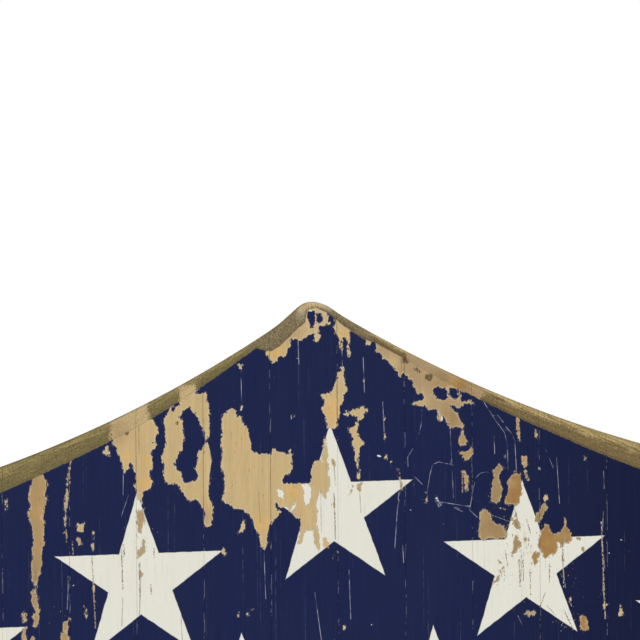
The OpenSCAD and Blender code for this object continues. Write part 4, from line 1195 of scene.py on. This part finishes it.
    def add_bevel(self, face, crack, colours):
        """The bevel: worn pale along the rim, olive and speckled inside, with a painted shadow line in the
        crease at the paint and painted shade along the outer rim.
        """
        x, z, share, ragged = self.x, self.z, self.share, self.ragged
        streaks = self.noise(self.combine(x * 0.05, 0.0, self.past * 0.55), 4.0, 0.65, contrast=2.0)
        pores = self.cloud(0.8, 0.8, 3.0, 0.7, contrast=2.0)
        to_right = (x * 0.012 + 0.5).clamped()
        worn = self.mix(to_right, colours.straw_band, shade_of(180, 158, 108))
        dull = self.mix(to_right, colours.olive, shade_of(122, 104, 70))
        pale = (share * 2.3 - 1.15 + (streaks - 0.5) * 1.7 + (pores - 0.5) * 0.7).clamped()
        sandy = self.cloud(0.55, 0.55, 3.0, 0.7, deep=3.0, contrast=3.0)
        band = self.mix(pale, dull, worn)
        band = self.scaled(band, 0.14 + streaks * 0.5 + pores * 0.64 + sandy * 0.7)
        peak_x = ((60 - abs(x + 3)) / 18).clamped()
        fibres = self.noise(self.combine(x * 0.9 + z * 0.3, 0.0, z * 0.25), 3.0, 0.7, contrast=2.5)
        ashen = self.scaled(shade_of(133, 118, 90), -0.12 + pores * 0.6 + fibres * 0.95 + sandy * 0.64)
        band = self.mix(peak_x * 0.85, band, ashen)
        tip = (1 - abs(x + 1) / 17).clamped() * (share * 1.6 - 0.2 + (pores - 0.5)).clamped()
        band = self.mix(tip, band, self.scaled(shade_of(238, 222, 186), 0.8 + fibres * 0.3 + streaks * 0.2))
        # Painted shade: a thin dark line along the bevel's outer rim
        rim = (share - 0.93).edge(0.05) * (streaks * 2 - 0.3).clamped() * (0.8 - to_right * 0.35)
        past_edge = self.past + ragged * 0.3
        # Painted shadow: a dark line in the crease where the bevel meets the paint
        crease_shadow = (1 - abs(past_edge - 1.0) / 1.5).clamped() * (0.22 + to_right * 0.2)
        band = self.mix(crease_shadow, band, shade_of(64, 58, 50))
        fresh = (self.attribute("fresh_bevel") + ragged * 1.6 + (pores - 0.5) * 5).edge(2.5)
        band = self.mix(fresh * 0.9, band, self.scaled(self.wood_tint, 0.56 + pores * 0.5 + streaks * 0.3))
        band = self.mix(rim, band, shade_of(84, 76, 56))
        on_bevel = past_edge.edge(0.6)
        self.set("Base Color", self.mix(on_bevel, face, band))
        self.set("Roughness", 0.55 + self.bare * 0.25 + on_bevel * 0.1)
        height = (1 - self.bare) * (1 - on_bevel) * 0.14
        height = height + self.fine * (0.04 + self.bare * 0.16 + on_bevel * 0.3)
        self.bump(height + pores * on_bevel * 0.5 + streaks * on_bevel * 0.5 - crack * 0.3, 0.7)


def old_pine_finish(name, tint, shape=None):
    """Bare, aged pine. Given the shape, it runs up the strips, each its own tone; else along a batten."""
    finish = Finish(name, roughness=0.82, gloss=0.25)
    _, (x, y, z) = finish.place()
    if shape:
        cross_way, plank, joint = on_strips(shape, x, z)
        long_way = z + plank * 731.0
        middle = cross_way - (plank + 0.5) * shape.pitch
    else:
        cross_way, long_way = z, x
        plank = (z / BATTEN_STEP + 0.5).math("FLOOR")
        middle = z - plank * BATTEN_STEP
    fibre = finish.noise(finish.combine(cross_way * 0.9, y * 0.9, long_way * 0.02), 3.0, 0.65, contrast=1.6)
    chance = finish.noise(finish.combine(plank * 5.7, 0.5, 0.5), 0.0, 0.5, contrast=2.2)
    spot = finish.combine(cross_way * 0.016, y * 0.01 + plank * 7.0, long_way * 0.0045)
    spot = {"Vector": spot, "Scale": 1.0}
    near_knot = finish.node("ShaderNodeTexVoronoi", {"feature": "F1"}, spot)
    cell = finish.node("ShaderNodeTexVoronoi", {"feature": "F1"}, spot, "Color")
    lot = finish.node("ShaderNodeSeparateXYZ", {}, [cell])
    bend = finish.noise(finish.combine(cross_way * 0.03, y * 0.03, long_way * 0.003), 3.0, 0.5)
    pith = finish.combine(middle + (chance - 0.5) * 50, y - 22, 0.0)
    year = finish.vector("LENGTH", pith, out="Value") / 4.2 + bend * 7
    year = year + (0.45 - near_knot).clamped() * (lot - 0.6).edge(0.05) * 4
    rings = (year * 6.28).math("SINE") * 0.5 + 0.5
    size = (lot - 0.6) * 0.22 + fibre * 0.03
    knot = (size - near_knot).edge(0.05) * (lot - 0.6).edge(0.02)
    halo = (size + 0.09 - near_knot).edge(0.12) * (lot - 0.6).edge(0.02)
    stain = finish.noise(finish.combine(cross_way * 0.02, y * 0.02, long_way * 0.006), 3.0, 0.6, contrast=1.8)
    wood = finish.mix(stain * 0.55, tint, finish.scaled(finish.mix(0.35, tint, shade_of(120, 112, 100)), 0.8))
    wood = finish.scaled(wood, 0.56 + fibre * 0.24 + rings * rings * 0.2 + chance * 0.3)
    wood = finish.mix(halo * 0.4, wood, shade_of(122, 84, 48))
    wood = finish.mix(knot * 0.85, wood, finish.scaled(shade_of(82, 55, 36), 0.7 + rings * 0.5))
    if shape:
        wood = finish.mix((0.7 - joint).edge(0.8) * 0.7, wood, shade_of(58, 46, 34))
    finish.set("Base Color", wood)
    finish.set("Roughness", 0.72 + fibre * 0.2)
    finish.bump(fibre * 0.3 + rings * 0.12 - knot * 0.2, 0.6)
    return finish.material


def screw_finish(colours):
    """Dull steel, browned by rust in patches."""
    finish = Finish("old screw steel", roughness=0.5, metallic=1.0, gloss=0.5)
    point, _ = finish.place()
    patch = finish.noise(point, 4.0, 0.65, 0.35)
    grit = finish.noise(point, 2.0, 0.6, 2.2)
    rust = ((patch - 0.5) * 5).clamped()
    steel = finish.scaled(colours.screw_steel, 0.8 + grit * 0.4)
    finish.set("Base Color", finish.mix(rust, steel, shade_of(104, 62, 38)))
    finish.set("Metallic", 1 - rust * 0.85)
    finish.set("Roughness", 0.42 + rust * 0.4 + grit * 0.1)
    finish.bump(grit * 0.06 + rust * 0.05, 0.6)
    return finish.material


def zinc_finish(colours):
    """Zinc plate: a soft mottle with fine rolling marks and a little white bloom."""
    finish = Finish("zinc plate", roughness=0.38, metallic=1.0, gloss=0.5)
    point, (x, y, z) = finish.place()
    mottle = finish.noise(point, 3.0, 0.6, 0.22)
    marks = finish.noise(finish.combine(x * 2.5, y * 0.8, z * 0.15), 2.0, 0.5)
    bloom = ((mottle - 0.58) * 6).clamped()
    plate = finish.scaled(colours.hanger_zinc, 0.8 + mottle * 0.25 + marks * 0.12)
    finish.set("Base Color", finish.mix(bloom * 0.6, plate, shade_of(186, 184, 176)))
    finish.set("Metallic", 1 - bloom * 0.6)
    finish.set("Roughness", 0.3 + marks * 0.12 + bloom * 0.35)
    finish.bump(marks * 0.03 + mottle * 0.02, 0.5)
    return finish.material


def dress(names, material):
    """Gives CAD nodes that show as they are their finish."""
    for name in names:
        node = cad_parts[name]
        node.data.materials.clear()
        node.data.materials.append(material)


# ---------------------------------------------------------------- operators


class SHIELD_OT_strips(bpy.types.Operator):
    """Build the painted tongue-and-groove strips"""

    bl_idname = "shield.strips"
    bl_label = "Painted strips"

    def execute(self, context):
        scene = context.scene
        shape = ShieldShape(scene.shield_sizes)
        ovals = worn_spots(shape, scene.shield_sizes.seed)
        face = PaintedPine(shape, scene.shield_colours, scene.shield_pattern).material
        wood = old_pine_finish("old pine", scene.shield_colours.old_pine, shape)
        for strip in range(len(BOARDS)):
            make_strip(shape, scene.shield_sizes, strip, ovals, face, wood)
        return {"FINISHED"}


class SHIELD_OT_battens(bpy.types.Operator):
    """Finish the three cross battens"""

    bl_idname = "shield.battens"
    bl_label = "Cross battens"

    def execute(self, context):
        tint = context.scene.shield_colours.batten_pine
        dress(BATTENS, old_pine_finish("batten pine", tint))
        return {"FINISHED"}


class SHIELD_OT_screws(bpy.types.Operator):
    """Finish the screws"""

    bl_idname = "shield.screws"
    bl_label = "Screws"

    def execute(self, context):
        dress(SCREWS, screw_finish(context.scene.shield_colours))
        return {"FINISHED"}


class SHIELD_OT_hangers(bpy.types.Operator):
    """Finish the straps and their D-rings"""

    bl_idname = "shield.hangers"
    bl_label = "D-ring hangers"

    def execute(self, context):
        zinc = zinc_finish(context.scene.shield_colours)
        dress(STRAPS, zinc)
        dress(RINGS, zinc)
        return {"FINISHED"}


def lay_floor(height):
    """A pale floor that fades out into the white background."""
    bm = bmesh.new()
    bmesh.ops.create_grid(bm, x_segments=1, y_segments=1, size=30)
    mesh = bpy.data.meshes.new("floor")
    bm.to_mesh(mesh)
    bm.free()
    mesh.transform(Matrix.Translation((0, 0, height)))
    floor = bpy.data.objects.new("floor", mesh)
    bpy.context.scene.collection.objects.link(floor)
    finish = Finish("pale floor", roughness=0.9, gloss=0.1)
    _, (x, y, _) = finish.place()
    reach = finish.vector("LENGTH", finish.combine(x, y, 0.0), out="Value")
    finish.set("Base Color", (0.86, 0.86, 0.85))
    finish.set("Alpha", ((2600 - reach) / 1900).clamped().math("SMOOTH_MIN", 1.0, 0.2))
    mesh.materials.append(finish.material)


def add_lamp(name, place, aim, size, power):
    """A round, soft lamp that points at aim."""
    lamp = bpy.data.lights.new(name, "AREA")
    lamp.shape = "DISK"
    lamp.size = size
    lamp.energy = power
    holder = bpy.data.objects.new(name, lamp)
    holder.location = place
    holder.rotation_euler = (Vector(aim) - Vector(place)).to_track_quat("-Z", "Y").to_euler()
    bpy.context.scene.collection.objects.link(holder)


def set_camera(stage):
    """A camera square to the painted face, leaning a little to its right."""
    camera = bpy.data.cameras.new("camera")
    camera.sensor_width = 36
    camera.lens = camera.sensor_width * stage.camera_distance / stage.view_width
    camera.clip_end = 100
    holder = bpy.data.objects.new("camera", camera)
    cos, sin = math.cos(stage.roll), math.sin(stage.roll)
    holder.rotation_euler = Matrix(((cos, sin, 0), (0, 0, -1), (-sin, cos, 0))).to_euler()
    holder.location = (stage.view_x, cad_box[0].y - stage.camera_distance, stage.view_z)
    bpy.context.scene.collection.objects.link(holder)
    bpy.context.scene.camera = holder


def light_sky(strength):
    """A white background for the camera, and in gloss and glass, and a plain even light for the rest."""
    world = bpy.data.worlds.new("studio")
    bpy.context.scene.world = world
    sky = Nodes(world)
    rays = ("Is Camera Ray", "Is Glossy Ray", "Is Transmission Ray")
    camera, gloss, glass = (sky.node("ShaderNodeLightPath", {}, {}, ray) for ray in rays)
    even = sky.node("ShaderNodeBackground", {}, {"Strength": strength})
    white = sky.node("ShaderNodeBackground", {}, {"Color": (1, 1, 1), "Strength": 1.0})
    both = sky.node("ShaderNodeMixShader", {}, [camera.at_least(gloss).at_least(glass), even, white])
    sky.node("ShaderNodeOutputWorld", {}, {"Surface": both})


class SHIELD_OT_stage(bpy.types.Operator):
    """Set up the floor, the soft lights and the camera"""

    bl_idname = "shield.stage"
    bl_label = "Stage"

    def execute(self, context):
        stage = context.scene.shield_stage
        low, high = cad_box
        lay_floor(low.z - stage.floor_drop)
        light_sky(stage.sky)
        for name, place, size, share in LAMPS:
            add_lamp(name, place, (0, low.y, (low.z + high.z) / 2), size, stage.key * share)
        set_camera(stage)
        context.scene.view_settings.view_transform = "Standard"
        return {"FINISHED"}


class SHIELD_PT_panel(bpy.types.Panel):
    """Lists the pieces of the shield panel"""

    bl_idname = "SHIELD_PT_panel"
    bl_label = "Painted shield panel"
    bl_space_type = "VIEW_3D"
    bl_region_type = "UI"
    bl_category = "Shield"

    def draw(self, context):
        for operator in OPERATORS:
            self.layout.operator(operator.bl_idname)
        for group in GROUPS:
            settings = getattr(context.scene, group)
            box = self.layout.box()
            for name in settings.__annotations__:
                box.prop(settings, name)


GROUPS = {
    "shield_sizes": ShieldSizes,
    "shield_colours": ShieldColours,
    "shield_pattern": ShieldPattern,
    "shield_stage": ShieldStage,
}
OPERATORS = [
    SHIELD_OT_strips, SHIELD_OT_battens, SHIELD_OT_screws, SHIELD_OT_hangers, SHIELD_OT_stage,
]


def register():
    for group, settings in GROUPS.items():
        bpy.utils.register_class(settings)
        setattr(bpy.types.Scene, group, PointerProperty(type=settings))
    for operator in OPERATORS:
        bpy.utils.register_class(operator)
    bpy.utils.register_class(SHIELD_PT_panel)


def unregister():
    bpy.utils.unregister_class(SHIELD_PT_panel)
    for operator in reversed(OPERATORS):
        bpy.utils.unregister_class(operator)
    for group, settings in GROUPS.items():
        delattr(bpy.types.Scene, group)
        bpy.utils.unregister_class(settings)


def main():
    register()
    bpy.ops.shield.strips()
    bpy.ops.shield.battens()
    bpy.ops.shield.screws()
    bpy.ops.shield.hangers()
    bpy.ops.shield.stage()


if __name__ == "__main__":
    main()
